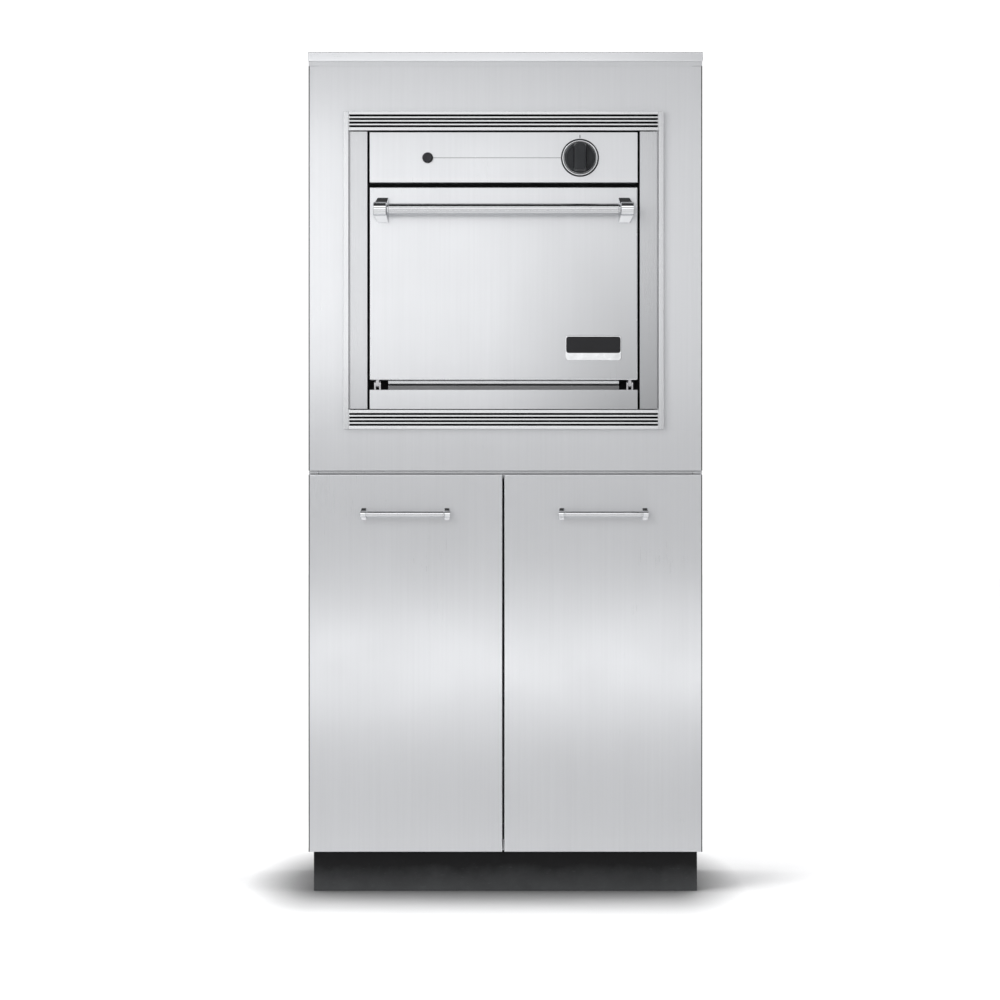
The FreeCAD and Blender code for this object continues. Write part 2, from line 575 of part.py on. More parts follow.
def make_oven_door():
    skin = front_pan("DoorSkin", "door_low", "door_top", "inner_y-panel_sheet")
    keep("oven_door_skin", skin)
    wide = ("ox-front_half+panel_sheet", "ox+front_half-panel_sheet")
    inner = new_body("DoorInner")
    pad(inner, "XZ", "inner_y-panel_sheet", "inner_y",
        [rect("ox-front_half", "ox+front_half", "door_low", "door_top")])
    tray = ["ox-mouth_half+oven_tray_in", "ox+mouth_half-oven_tray_in",
            "mouth_low+oven_tray_in", "mouth_top-oven_tray_in"]
    pad(inner, "XZ", "inner_y-panel_sheet-oven_tray_deep", "inner_y-panel_sheet", [rect(*tray)])
    hollow = [f"{tray[0]}+panel_sheet", f"{tray[1]}-panel_sheet",
              f"{tray[2]}+panel_sheet", f"{tray[3]}-panel_sheet"]
    pocket(inner, "XZ", "inner_y-oven_tray_deep", "inner_y", [rect(*hollow)])
    keep("oven_door_liner", inner)
    wool = block("Wool", wide, ("oven_y+panel_sheet", "inner_y-wool_gap"),
                 ("door_low+panel_sheet", "door_top-panel_sheet"))
    keep("oven_door_insulation", wool)
    sides = ["ox-mouth_half-gasket_over", "ox+mouth_half+gasket_over",
             "mouth_low-gasket_over", "mouth_top+gasket_over"]
    hole = [f"{sides[0]}+gasket_wide", f"{sides[1]}-gasket_wide",
            f"{sides[2]}+gasket_wide", f"{sides[3]}-gasket_wide"]
    keep("oven_door_gasket", plate("Gasket", "XZ", "inner_y", "inner_y+gasket",
                                   [rect(*sides), rect(*hole)]))
    badge = plate("Badge", "XZ", "oven_y-badge_thick", "oven_y",
                  [rect("ox+badge_x-badge_wide/2", "ox+badge_x+badge_wide/2",
                        "badge_z-badge_high/2", "badge_z+badge_high/2")])
    round_edges(badge, BADGE_CORNER, along(1))
    keep("badge_plate", badge)


def make_oven_handle():
    hub_y = "face_y-reach+bracket_hub_half"
    bar = rod("HandleBar", "X", ("ox-handle_span+bracket_wide/2", hub_y, "handle_z"),
              "handle_span*2-bracket_wide", "handle_bar")
    keep("oven_handle_bar", bar)
    ends = [bracket("HandleBracket", f"ox{sign}handle_span", "bracket_wide", "handle_z",
                    "oven_y", "(oven_y-face_y+reach)", "bracket_foot_half",
                    "bracket_hub_half", "bracket_foot_thick")
            for sign in "-+"]
    keep("oven_handle_brackets", group("HandleBrackets", *ends))


def make_oven_hinges():
    """Arms under the door turn on pins held between two ears on the kick strip."""
    arms, clevises = [], []
    for sign in "-+":
        mid = f"ox{sign}arm_x"
        arm = new_body("HingeArm")
        low, high = f"{mid}-arm_half", f"{mid}+arm_half"
        pad(arm, "YZ", low, high, [rect("axis_y-eye", "axis_y+eye", "axis_z", "door_low")])
        pad(arm, "YZ", low, high, circles=[("axis_y", "axis_z", "eye")])
        pocket(arm, "YZ", f"{low}-1", f"{high}+1", circles=[("axis_y", "axis_z", "oven_pin+run")])
        arms.append(arm)
        clevis = new_body("Clevis")
        for inner in (f"{mid}-arm_half-ear_gap-ear_thick", f"{mid}+arm_half+ear_gap"):
            outer = f"{inner}+ear_thick"
            pad(clevis, "YZ", inner, outer,
                [rect("axis_y-eye", "axis_y+eye", "kick_top", "axis_z")])
            pad(clevis, "YZ", inner, outer, circles=[("axis_y", "axis_z", "eye")])
        pad(clevis, "YZ", f"{mid}-arm_half-ear_gap-ear_thick",
            f"{mid}+arm_half+ear_gap+ear_thick", circles=[("axis_y", "axis_z", "oven_pin")])
        clevises.append(clevis)
    keep("oven_hinge_arms", group("HingeArms", *arms))
    keep("oven_hinge_pins", group("HingePins", *clevises))


# ---------------------------------------------------------------- oven box and racks
def make_oven_box():
    def open_box(name, half, low, top, deep, thick):
        return cut(name,
                   block(name + "Outer", (f"ox-{half}", f"ox+{half}"), ("box_y", f"box_y+{deep}"),
                         (low, top)),
                   block(name + "Inner", (f"ox-{half}+{thick}", f"ox+{half}-{thick}"),
                         ("box_y-1", f"box_y+{deep}-{thick}"), (f"{low}+{thick}", f"{top}-{thick}")))

    def mixer_hole(name):
        return rod(name, "Y", ("ox", "box_y+300", "burner_z"), "200", "mixer+1")

    casing = open_box("Casing", "casing_half", "shelf_top", "casing_top", "casing_deep",
                      "casing_sheet")
    keep("oven_casing", cut("CasingBored", casing, mixer_hole("CasingHole")))
    liner = open_box("Liner", "liner_half", "liner_low", "liner_top", "liner_deep", "sheet")
    keep("oven_liner", cut("LinerBored", liner, mixer_hole("LinerHole")))
    wool = block("WoolOuter", ("ox-casing_half+casing_sheet", "ox+casing_half-casing_sheet"),
                 ("box_y", "box_y+casing_deep-casing_sheet"),
                 ("shelf_top+casing_sheet", "casing_top-casing_sheet"))
    room = block("WoolInner", ("ox-liner_half", "ox+liner_half"), ("box_y-1", "box_y+liner_deep"),
                 ("liner_low", "liner_top"))
    keep("oven_insulation", cut("WoolBored", wool, room, mixer_hole("WoolHole")))
    front, back = "box_y+floor_gap", "box_y+liner_deep-sheet-floor_gap"
    foot = "liner_low+sheet"
    outline = [(front, foot), (f"{front}+floor_sheet", foot),
               (f"{front}+floor_sheet", "floor_top-floor_sheet"),
               (f"{back}-floor_sheet", "floor_top-floor_sheet"), (f"{back}-floor_sheet", foot),
               (back, foot), (back, "floor_top"), (front, "floor_top")]
    floor = plate("Floor", "YZ", "ox-liner_half+floor_side", "ox+liner_half-floor_side", [outline])
    pocket(floor, "XZ", f"{back}-floor_sheet*2", back, circles=[("ox", "burner_z", "mixer+1")])
    for left, right in (("-floor_slot_out", "-floor_slot_in"), ("+floor_slot_in", "+floor_slot_out")):
        slot = pocket(floor, "XY", "floor_top-floor_sheet", "floor_top",
                      [rect(f"ox{left}", f"ox{right}", f"{front}+floor_slot_first",
                            f"{front}+floor_slot_first+floor_slot_wide")])
        repeat(floor, slot, "Y_Axis", "floor_slot_wide*3", 14)
    keep("oven_floor", floor)


def make_racks():
    front, back = "box_y+rack_front", "box_y+rack_front+rack_deep"
    run = (f"{front}+rack_rod", f"{back}-rack_rod")
    side_rod = "(rack_half-rack_rod)"
    for name, level in (("rack_lower", "rack_low"), ("rack_upper", "rack_high")):
        body = new_body("Rack")
        pad(body, "YZ", "ox-rack_half", "ox+rack_half",
            circles=[(run[0], level, "rack_rod"), (run[1], level, "rack_rod")])
        pad(body, "XZ", *run, circles=[(f"ox{sign}{side_rod}", level, "rack_rod") for sign in "-+"])
        wires = [(f"ox+wire_pitch*{i}", level, "rack_wire") for i in range(-12, 13)]
        pad(body, "XZ", *run, circles=wires)
        keep(name, body)


def make_rack_guides():
    """A wire ladder on each side wall: three pairs of rods on two posts."""
    levels = [f"{level}-rack_rod-guide_rod-guide_gap"
              for level in ("rack_low", "(rack_low+rack_high)/2", "rack_high")]
    run = ("box_y+guide_end", "box_y+liner_deep-sheet-guide_end")
    ladders = []
    for sign in "-+":
        ladder = new_body("Ladder")
        for place in ("(rack_half+guide_out)", "(rack_half-rack_rod)"):
            pad(ladder, "XZ", *run,
                circles=[(f"ox{sign}{place}", level, "guide_rod") for level in levels])
        inner, outer = f"ox{sign}(rack_half-rack_rod)", f"ox{sign}(rack_half+post_out)"
        ends = (inner, outer) if sign == "+" else (outer, inner)
        for place in ("box_y+post_in", "box_y+liner_deep-post_in"):
            pad(ladder, "XY", "floor_top", "rack_high", circles=[(outer, place, "guide_rod")])
            for level in levels:
                pad(ladder, "YZ", *ends, circles=[(place, level, "guide_rod*0.9")])
        ladders.append(ladder)
    keep("rack_guides", group("Ladders", *ladders))


# ---------------------------------------------------------------- controls
def make_knob():
    """The knob and its stem turn together; the collar behind them slides in with both."""
    low, high = "oven_y-knob_deep-knob_lift", "oven_y-knob_lift"
    centre = ("ox+knob_x", "control_z")
    body = new_body("Knob")
    pad(body, "XZ", f"{high}-knob_skirt", high, circles=[(*centre, "knob_rim")])
    grip = rect("ox+knob_x-grip_half", "ox+knob_x+grip_half",
                "control_z-grip_long", "control_z+grip_long")
    pad(body, "XZ", low, f"{high}-knob_skirt", [grip])
    pocket(body, "XZ", f"{high}-knob_bore", high, circles=[(*centre, "stem")])
    keep("knob", body)
    keep("valve_stem", rod("Stem", "Y", ("ox+knob_x", f"{high}-knob_bore", "control_z"),
                           "box_y-oven_y+knob_lift+knob_bore+stem_end", "stem"))
    collar = [("stem+run", "0"), ("stem+collar_wide", "0"), ("stem+collar_wide", "collar_thick"),
              ("stem+run", "collar_thick")]
    keep("stem_collar", turned("Collar", collar, ("ox+knob_x", "oven_y+collar_in", "control_z"), "Y"))
    ring = [("bezel_in", "0"), ("bezel_out", "0"), ("bezel_out-1", "bezel_thick*0.6"),
            ("bezel_in+2", "bezel_thick"), ("bezel_in", "bezel_thick*0.8")]
    keep("knob_bezel", turned("Bezel", ring, ("ox+knob_x", "oven_y", "control_z"), "-Y"))
    valve = [("0", "valve_recess"), ("stem*2", "valve_recess"), ("stem*2", "0"),
             ("valve-2", "0"), ("valve", "14"), ("valve", "valve_long-6"),
             ("valve*0.66", "valve_long"), ("0", "valve_long")]
    keep("gas_valve", turned("Valve", valve, ("ox+knob_x", "box_y", "control_z"), "Y"))


def make_button():
    """A push button in a raised ring, on a stem that reaches back into the spark module."""
    centre = ("ox+button_x", "oven_y", "control_z")
    cap = [("0", "-button_stem_long"), ("button_stem", "-button_stem_long"),
           ("button_stem", "button_base"), ("button_rim", "button_base"),
           ("button_rim", "button_high-1.5"), ("button_rim-1.5", "button_high"), ("0", "button_high")]
    keep("button_cap", turned("Button", cap, centre, "-Y"))
    bore = "button_stem+0.3"
    ring = [(bore, "-2"), ("button_hole-0.2", "-2"), ("button_hole-0.2", "0"), ("button_out", "0"),
            ("button_out", "button_ring-1"), ("button_out-0.6", "button_ring"),
            ("button_rim+0.4", "button_ring"), ("button_rim+0.4", "0.6"), (bore, "0.6")]
    keep("button_ring", turned("ButtonRing", ring, centre, "-Y"))
    module = plate("Module", "XZ", "box_y", "box_y+module_deep",
                   [rect("ox+button_x-module_half", "ox+button_x+module_half",
                         "control_z-module_down", "control_z+module_up")],
                   [("ox+button_x", "control_z", "button_hole+1")])
    round_edges(module, MODULE_CORNER, along(1))
    keep("spark_module", module)


# ---------------------------------------------------------------- gas train
def pipe_run(name, points, radius, knot):
    """Straight pipe runs between points, each on one axis, with a round elbow at each turn."""
    pieces = []
    for a, b in zip(points, points[1:]):
        axis = next(i for i in range(3) if a[i] != b[i])
        low, high = (a, b) if (a, b) in FORWARD else (b, a)
        pieces.append(rod(name + "Run", "XYZ"[axis], low, f"({high[axis]})-({low[axis]})", radius))
    pieces += [ball(name + "Elbow", point, knot) for point in points[1:-1]]
    return fuse(name, *pieces)


BEHIND = "box_y+casing_deep+supply_gap"
RISER = [("riser_x", "back_y-inlet_end", "inlet_z"), ("riser_x", "riser_y", "inlet_z"),
         ("riser_x", "riser_y", "control_z"), ("riser_x", "front_pipe_y", "control_z"),
         ("ox+knob_x+valve", "front_pipe_y", "control_z")]
SUPPLY = [("ox+knob_x", "box_y+valve_long", "control_z"), ("ox+knob_x", BEHIND, "control_z"),
          ("ox+knob_x", BEHIND, "burner_z"), ("ox", BEHIND, "burner_z")]
FORWARD = [(RISER[1], RISER[2]), (SUPPLY[0], SUPPLY[1])]     # runs whose first point is the lower


def make_gas_train():
    room = rod("RegulatorRoom", "Z", ("riser_x", "riser_y", "regulator_z"), "regulator_high",
               "regulator_neck")
    bore = rod("InletBore", "Y", ("riser_x", "riser_y+18", "inlet_z"), "riser_back", "pipe*0.75")
    keep("gas_riser", cut("RiserCut", pipe_run("Riser", RISER, "pipe", "elbow"), room, bore))
    nozzle = [("0", "-nozzle_back"), ("nozzle", "-nozzle_back"), ("nozzle", "6"), ("6", "10"),
              ("0", "10")]
    orifice = turned("Orifice", nozzle, ("ox", BEHIND, "burner_z"), "Y")
    keep("supply_tube", fuse("SupplyTube", pipe_run("Supply", SUPPLY, "tube", "tube*1.2"), orifice))
    shell = [("0", "0"), ("regulator_neck-4", "0"), ("regulator_neck", "12"), ("38", "16"),
             ("regulator", "22"), ("regulator", "34"), ("regulator_neck", "42"),
             ("regulator_neck-4", "regulator_high"), ("0", "regulator_high")]
    keep("regulator", turned("Regulator", shell, ("riser_x", "riser_y", "regulator_z")))


def make_burner():
    """A ported tube that runs back through the oven's rear wall to the orifice."""
    tube = rod("BurnerPipe", "Y", ("ox", "box_y+burner_front", "burner_z"), "burner_long", "burner")
    mixer = rod("MixerPipe", "Y", ("ox", "box_y+burner_front", "burner_z"),
                f"{BEHIND}-nozzle_back-(box_y+burner_front)", "mixer")
    ports = plate("Ports", "XY", "burner_z+burner-3", "burner_z+burner+3", [],
                  [("ox", f"box_y+burner_front+port_pitch*{i}", "port") for i in range(1, 15)])
    keep("burner", cut("BurnerPorted", fuse("BurnerTube", tube, mixer), ports))
    spark = [("0", "0"), ("9", "0"), ("9", "3"), ("4", "3"), ("4", "34"), ("1.2", "35"),
             ("1.2", "44"), ("0", "44")]
    keep("electrode", turned("Electrode", spark, ("ox+electrode_x", "box_y+electrode_y",
                                                  "liner_low+sheet")))


make_plinth()
make_feet()
make_side_panels()
make_back_panel()
make_deck_and_shelf()
make_top_and_rails()
make_surround()
make_catches()
make_brackets()
make_door("left", "split-split_gap/2", "-half", "-")
make_door("right", "split+split_gap/2", "half", "")
make_trim()
make_louvre("louvre_top", "upper_louvre_low")
make_louvre("louvre_bottom", "trim_low")
make_front_frame()
make_panel_and_kick()
make_oven_door()
make_oven_handle()
make_oven_hinges()
make_oven_box()
make_racks()
make_rack_guides()
make_knob()
make_button()
make_gas_train()
make_burner()
doc.recompute()

# ---------------------------------------------------------------- checks and files
failed = [thing.Label for thing in doc.Objects
          if "Invalid" in thing.State or "Error" in thing.State]
failed += [label for label, thing in NODES.items()
           if thing.Shape.isNull() or not thing.Shape.isValid() or thing.Shape.Volume <= 0]
if failed:
    raise SystemExit(f"failed objects: {failed}")

os.makedirs("parts", exist_ok=True)
for label, thing in NODES.items():
    thing.Shape.exportStep(f"parts/{label}.step")
    box = thing.Shape.BoundBox
    print(f"{label:22s} solids {len(thing.Shape.Solids)} volume {thing.Shape.Volume / 1000:9.1f} cm3"
          f"  x {box.XMin:7.1f} {box.XMax:7.1f}  y {box.YMin:7.1f} {box.YMax:7.1f}"
          f"  z {box.ZMin:7.1f} {box.ZMax:7.1f}")
print(len(NODES), "nodes")
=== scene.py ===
"""Looks of a tall outdoor oven cabinet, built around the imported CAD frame. Units are metres."""
import json
import math

import bmesh
import bpy
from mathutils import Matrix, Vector

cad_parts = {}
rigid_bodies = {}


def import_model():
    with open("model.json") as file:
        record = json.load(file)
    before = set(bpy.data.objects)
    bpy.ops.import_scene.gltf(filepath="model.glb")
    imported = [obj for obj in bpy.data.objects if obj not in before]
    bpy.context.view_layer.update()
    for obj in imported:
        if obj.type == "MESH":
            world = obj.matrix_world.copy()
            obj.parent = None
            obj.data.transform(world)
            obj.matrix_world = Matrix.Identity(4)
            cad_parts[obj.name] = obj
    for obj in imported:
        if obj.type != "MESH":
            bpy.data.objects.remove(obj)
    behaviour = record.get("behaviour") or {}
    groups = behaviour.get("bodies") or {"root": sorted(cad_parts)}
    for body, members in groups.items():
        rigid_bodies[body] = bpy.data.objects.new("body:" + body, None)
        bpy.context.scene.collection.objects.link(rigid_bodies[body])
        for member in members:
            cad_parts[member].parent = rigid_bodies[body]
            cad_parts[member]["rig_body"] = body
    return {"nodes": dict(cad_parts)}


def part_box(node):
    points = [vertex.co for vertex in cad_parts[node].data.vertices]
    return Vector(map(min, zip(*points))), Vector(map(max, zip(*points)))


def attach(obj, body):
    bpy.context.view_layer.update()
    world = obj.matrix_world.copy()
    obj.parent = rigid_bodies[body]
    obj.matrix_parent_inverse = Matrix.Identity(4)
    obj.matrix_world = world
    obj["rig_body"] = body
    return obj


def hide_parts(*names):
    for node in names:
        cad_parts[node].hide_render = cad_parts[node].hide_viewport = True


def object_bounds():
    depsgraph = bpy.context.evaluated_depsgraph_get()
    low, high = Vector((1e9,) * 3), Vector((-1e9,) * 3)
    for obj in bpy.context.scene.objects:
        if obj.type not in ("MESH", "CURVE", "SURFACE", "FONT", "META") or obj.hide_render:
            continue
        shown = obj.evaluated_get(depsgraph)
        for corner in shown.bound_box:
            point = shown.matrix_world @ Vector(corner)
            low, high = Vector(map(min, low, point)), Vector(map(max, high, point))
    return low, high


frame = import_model()
CAD_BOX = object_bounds()
NODES = frame["nodes"]
MM = 0.001


def span(node):
    """The lowest and highest corner of a CAD node, and its middle."""
    low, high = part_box(node)
    return low, high, (low + high) / 2


# ---------------------------------------------------------------- camera
FACE_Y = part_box("door_skin_left")[0].y
CAMERA_AWAY = 9.5
VIEW_WIDE = 2.322               # what the picture spans at the cabinet's face
CAMERA_X, CAMERA_Z = -0.01265, 0.9118
SENSOR = 36.0

camera = bpy.data.objects.new("camera", bpy.data.cameras.new("camera"))
bpy.context.scene.collection.objects.link(camera)
camera.location = (CAMERA_X, FACE_Y - CAMERA_AWAY, CAMERA_Z)
camera.rotation_euler = (math.radians(90), 0, 0)
camera.data.sensor_width = SENSOR
camera.data.lens = SENSOR * CAMERA_AWAY / VIEW_WIDE
camera.data.clip_end = 100
bpy.context.scene.camera = camera


# ---------------------------------------------------------------- materials
def add(mat, kind, inputs=None, **settings):
    """A node in a material or a world with its settings, and its inputs linked or set."""
    node = mat.node_tree.nodes.new("ShaderNode" + kind)
    for key, value in settings.items():
        setattr(node, key, value)
    for key, value in (inputs or {}).items():
        if isinstance(value, bpy.types.NodeSocket):
            mat.node_tree.links.new(value, node.inputs[key])
        else:
            node.inputs[key].default_value = value
    return node


def material(name, **sockets):
    """A new material, with these plain values on its shader."""
    mat = bpy.data.materials.new(name)
    mat.use_nodes = True
    shader = mat.node_tree.nodes["Principled BSDF"]
    for key, value in sockets.items():
        shader.inputs[key.replace("_", " ")].default_value = value
    return mat


def feed(mat, socket, value):
    """Links a value to one of the shader's sockets."""
    mat.node_tree.links.new(value, mat.node_tree.nodes["Principled BSDF"].inputs[socket])


def own_place(mat):
    """The x, y and z of a point in the piece's own coordinates."""
    return add(mat, "SeparateXYZ", {0: add(mat, "TexCoord").outputs["Object"]}).outputs


def pattern(mat, stretch, detail, rough=0.5):
    """Noise in the piece's own coordinates. Stretch is its cycles per metre along each axis."""
    place = add(mat, "TexCoord").outputs["Object"]
    fit = add(mat, "Mapping", {"Vector": place, "Scale": stretch}).outputs["Vector"]
    return add(mat, "TexNoise", {"Vector": fit, "Scale": 1.0, "Detail": detail,
                                 "Roughness": rough}).outputs[0]


def scaled(mat, value, low, high, start=0.3, end=0.7):
    """A value that runs from start to end as one that runs from low to high."""
    return add(mat, "MapRange", {"Value": value, "From Min": start, "From Max": end,
                                 "To Min": low, "To Max": high}).outputs[0]


def plus(mat, a, b):
    return add(mat, "Math", {0: a, 1: b}, operation="ADD").outputs[0]


def times(mat, a, b):
    return add(mat, "Math", {0: a, 1: b}, operation="MULTIPLY").outputs[0]


def mix(mat, amount, under, over):
    return add(mat, "MixRGB", {0: amount, 1: under, 2: over}).outputs[0]


def ramp(mat, value, stops):
    """Colours along a value that runs from 0 to 1."""
    node = add(mat, "ValToRGB", {"Fac": value})
    points = node.color_ramp.elements
    while len(points) < len(stops):
        points.new(0.5)
    for point, (place, colour) in zip(points, stops):
        point.position = place
        point.color = (*colour, 1)
    return node.outputs[0]


def relief(mat, height, depth, strength, under=None):
    """Bumps from a height pattern, on top of other bumps where there are any."""
    inputs = {"Height": height, "Distance": depth, "Strength": strength}
    if under is not None:
        inputs["Normal"] = under
    return add(mat, "Bump", inputs).outputs[0]


def shade(colour, factor):
    return tuple(min(1.0, c * factor) for c in colour)


def along(axis, across, long):
    """Cycles per metre for a pattern that is drawn out along one axis."""
    return tuple(long if axis == a else across for a in "XYZ")


def brushed(name, colour, rough, grain, anisotropy=0.75, metal=0.84, streak=0.02, fine=0.06,
            painted_shade_tone=1.0, painted_edge_shade=None):
    """Sheet steel with hair lines along one axis and faint cloudy patches.

    A shade tone below 1 is how much of its tone the steel keeps in a painted shade at the lower
    right of the oven's front. An edge shade paints a dark line, a painted shade, down the outer
    edges of the cabinet's face: where it starts outwards, where it ends backwards."""
    mat = material(name, Metallic=metal, Anisotropic=anisotropy)
    hair = pattern(mat, along(grain, 1300, 7), 3, 0.6)
    band = pattern(mat, along(grain, 190, 2.0), 4, 0.6)
    cloud = pattern(mat, (5, 5, 5), 4, 0.55)
    tone = plus(mat, scaled(mat, band, 0, 0.6), scaled(mat, hair, 0, 0.4))
    sheen = ramp(mat, tone, [(0.1, shade(colour, 1 - streak)), (0.9, shade(colour, 1 + streak))])
    # painted shade: the steel darkens towards the lower right of the oven's front
    if painted_shade_tone < 1:
        place = own_place(mat)
        amount = times(mat, scaled(mat, place["X"], 0, 1, *PAINTED_SHADE_ACROSS),
                       scaled(mat, place["Z"], 0, 1, *PAINTED_SHADE_DOWN))
        sheen = mix(mat, amount, sheen, (*shade(colour, painted_shade_tone), 1))
    # painted shade: a dark line down the outer edges of the cabinet's face
    if painted_edge_shade:
        out, back = painted_edge_shade
        place, soft = own_place(mat), 0.4 * MM
        outward = add(mat, "Math", {0: place["X"]}, operation="ABSOLUTE").outputs[0]
        line = times(mat, scaled(mat, outward, 0, 1, out, out + soft),
                     scaled(mat, place["Y"], 1, 0, back, back + soft))
        sheen = mix(mat, line, sheen, (*shade(colour, 0.12), 1))
    feed(mat, "Base Color", sheen)
    level = plus(mat, scaled(mat, hair, rough - 0.035, rough + 0.035),
                 scaled(mat, cloud, -0.025, 0.03))
    feed(mat, "Roughness", level)
    feed(mat, "Normal", relief(mat, hair, 0.0001, fine))
    if anisotropy:
        feed(mat, "Tangent", add(mat, "Tangent", direction_type="RADIAL", axis=grain).outputs[0])
    return mat


def polished(name, colour, rough):
    """Chrome or polished edge: faint swirls and wiped patches."""
    mat = material(name, Metallic=1.0)
    swirl = pattern(mat, (60, 60, 60), 5, 0.6)
    haze = pattern(mat, (9, 9, 9), 3)
    feed(mat, "Base Color", ramp(mat, haze, [(0.3, shade(colour, 0.95)), (0.7, colour)]))
    feed(mat, "Roughness", plus(mat, scaled(mat, swirl, rough * 0.7, rough * 1.4),
                                scaled(mat, haze, 0, 0.03)))
    feed(mat, "Normal", relief(mat, swirl, 0.00008, 0.15))
    return mat


def painted(name, colour, rough, peel=900, worn=None, coat=0.0, foot=None, gloss=0.5,
            dusty=0.4):
    """Paint or enamel with orange peel, patches of dust and small scuffs."""
    mat = material(name, Coat_Weight=coat, Coat_Roughness=0.15, Specular_IOR_Level=gloss)
    skin = pattern(mat, (peel, peel, peel), 2, 0.5)
    dust = pattern(mat, (14, 14, 14), 6, 0.65)
    scuff = pattern(mat, (70, 70, 300), 3, 0.7)
    light = worn or shade(colour, 1.9)
    marks = plus(mat, scaled(mat, dust, 0, dusty), scaled(mat, scuff, 0, dusty, 0.62, 0.75))
    if foot:                    # lighter towards the floor, fading out upwards
        marks = plus(mat, marks, scaled(mat, own_place(mat)["Z"], 0.85, 0.0, 0.0, foot))
    feed(mat, "Base Color", ramp(mat, marks, [(0.0, colour), (0.45, shade(colour, 1.25)),
                                             (1.0, light)]))
    feed(mat, "Roughness", plus(mat, scaled(mat, dust, rough - 0.05, rough + 0.07),
                                scaled(mat, skin, -0.02, 0.02)))
    feed(mat, "Normal", relief(mat, skin, 0.00012, 0.3))
    return mat


def spangled(name, colour, rough):
    """Zinc coating: flat crystals of slightly different tone."""
    mat = material(name, Metallic=0.8)
    place = add(mat, "TexCoord").outputs["Object"]
    cells = add(mat, "TexVoronoi", {"Vector": place, "Scale": 90.0, "Randomness": 1.0})
    flake = add(mat, "SeparateColor", {0: cells.outputs["Color"]}).outputs[0]
    cloud = pattern(mat, (8, 8, 8), 4)
    feed(mat, "Base Color", ramp(mat, flake, [(0.0, shade(colour, 0.86)), (1.0, shade(colour, 1.1))]))
    feed(mat, "Roughness", plus(mat, scaled(mat, flake, rough - 0.07, rough + 0.07, 0, 1),
                                scaled(mat, cloud, -0.03, 0.06)))
    feed(mat, "Normal", relief(mat, cells.outputs["Distance"], 0.0001, 0.2))
    return mat


def fibrous(name, colour, size):
    """Wool or woven fibre: fine strands over soft clumps."""
    mat = material(name, Roughness=0.95, Sheen_Weight=0.3)
    strand = pattern(mat, (size, size, size * 3), 6, 0.7)
    clump = pattern(mat, (40, 40, 40), 4, 0.6)
    feed(mat, "Base Color", ramp(mat, times(mat, strand, clump),
                                 [(0.1, shade(colour, 0.6)), (0.5, shade(colour, 1.15))]))
    feed(mat, "Normal", relief(mat, strand, 0.0012, 0.7, relief(mat, clump, 0.002, 0.5)))
    return mat


def cast(name, colour, rough, metal, size=700, gloss=0.5):
    """Cast or moulded surface with a fine pebble."""
    mat = material(name, Metallic=metal, Specular_IOR_Level=gloss)
    pebble = pattern(mat, (size, size, size), 3, 0.6)
    stain = pattern(mat, (22, 22, 22), 5, 0.6)
    feed(mat, "Base Color", ramp(mat, stain, [(0.3, shade(colour, 0.82)), (0.7, shade(colour, 1.2))]))
    feed(mat, "Roughness", plus(mat, scaled(mat, pebble, rough - 0.06, rough + 0.06),
                                scaled(mat, stain, -0.04, 0.05)))
    feed(mat, "Normal", relief(mat, pebble, 0.00025, 0.35))
    return mat


STEEL = (0.625, 0.633, 0.648)
BLACK = (0.004, 0.004, 0.0045)
PAINTED_SHADE_ACROSS, PAINTED_SHADE_DOWN = (-0.05, 0.27), (1.62, 1.1)     # where the painted shade starts, and is full
LOOKS = {
    "brushed_stainless": brushed("steel_vertical", STEEL, 0.32, "Z"),
    "cap_stainless": brushed("steel_cap", shade(STEEL, 1.1), 0.30, "X"),
    # the trims carry a painted shade towards the oven front's lower right
    "trim_stainless": brushed("steel_trim", shade(STEEL, 0.84), 0.30, "Z", painted_shade_tone=0.68),
    "handle_steel": brushed("steel_handle", (0.60, 0.607, 0.62), 0.15, "X", anisotropy=0.0,
                            metal=1.0, fine=0.04),
    "chrome_trim": polished("chrome", (0.72, 0.73, 0.745), 0.07),
    "badge_chrome": polished("chrome_badge", (0.70, 0.71, 0.72), 0.16),
    "hinge_steel": cast("steel_hinge", (0.46, 0.46, 0.47), 0.32, 0.9),
    "black_plinth_paint": painted("paint_plinth", BLACK, 0.45, gloss=0.18,
                                  worn=(0.056, 0.058, 0.06), foot=0.11, dusty=0.16),
    "black_enamel": painted("enamel_black", BLACK, 0.55, gloss=0.2),
    "oven_enamel": painted("enamel_oven", (0.045, 0.05, 0.058), 0.28, peel=500,
                           worn=(0.13, 0.12, 0.11), coat=0.3),
    "galvanised_steel": spangled("zinc", (0.52, 0.53, 0.545), 0.45),
    "insulation_wool": fibrous("wool", (0.66, 0.58, 0.36), 900),
    "gasket_fibre": fibrous("gasket", (0.075, 0.073, 0.07), 1600),
    "knob_black": cast("knob_black", (0.011, 0.012, 0.0135), 0.34, 0.0, 1500, 0.26),
    "button_black": cast("button_black", (0.012, 0.012, 0.014), 0.4, 0.0, 1500, 0.3),
    "foot_plastic": cast("foot_plastic", (0.035, 0.035, 0.036), 0.6, 0.0),
    "catch_plastic": cast("catch_plastic", (0.07, 0.07, 0.072), 0.5, 0.0),
    "gas_iron": cast("iron", (0.05, 0.048, 0.046), 0.62, 0.3, 500),
    "gas_aluminium": cast("aluminium", (0.56, 0.56, 0.57), 0.45, 0.9),
    "valve_brass": cast("brass", (0.62, 0.46, 0.2), 0.36, 0.95),
    "electrode_ceramic": cast("ceramic", (0.78, 0.75, 0.68), 0.3, 0.0),
}
# the oven door's front and the kick strip carry a painted shade towards the lower right
FRONT = brushed("steel_front", STEEL, 0.32, "Z", painted_shade_tone=0.64)
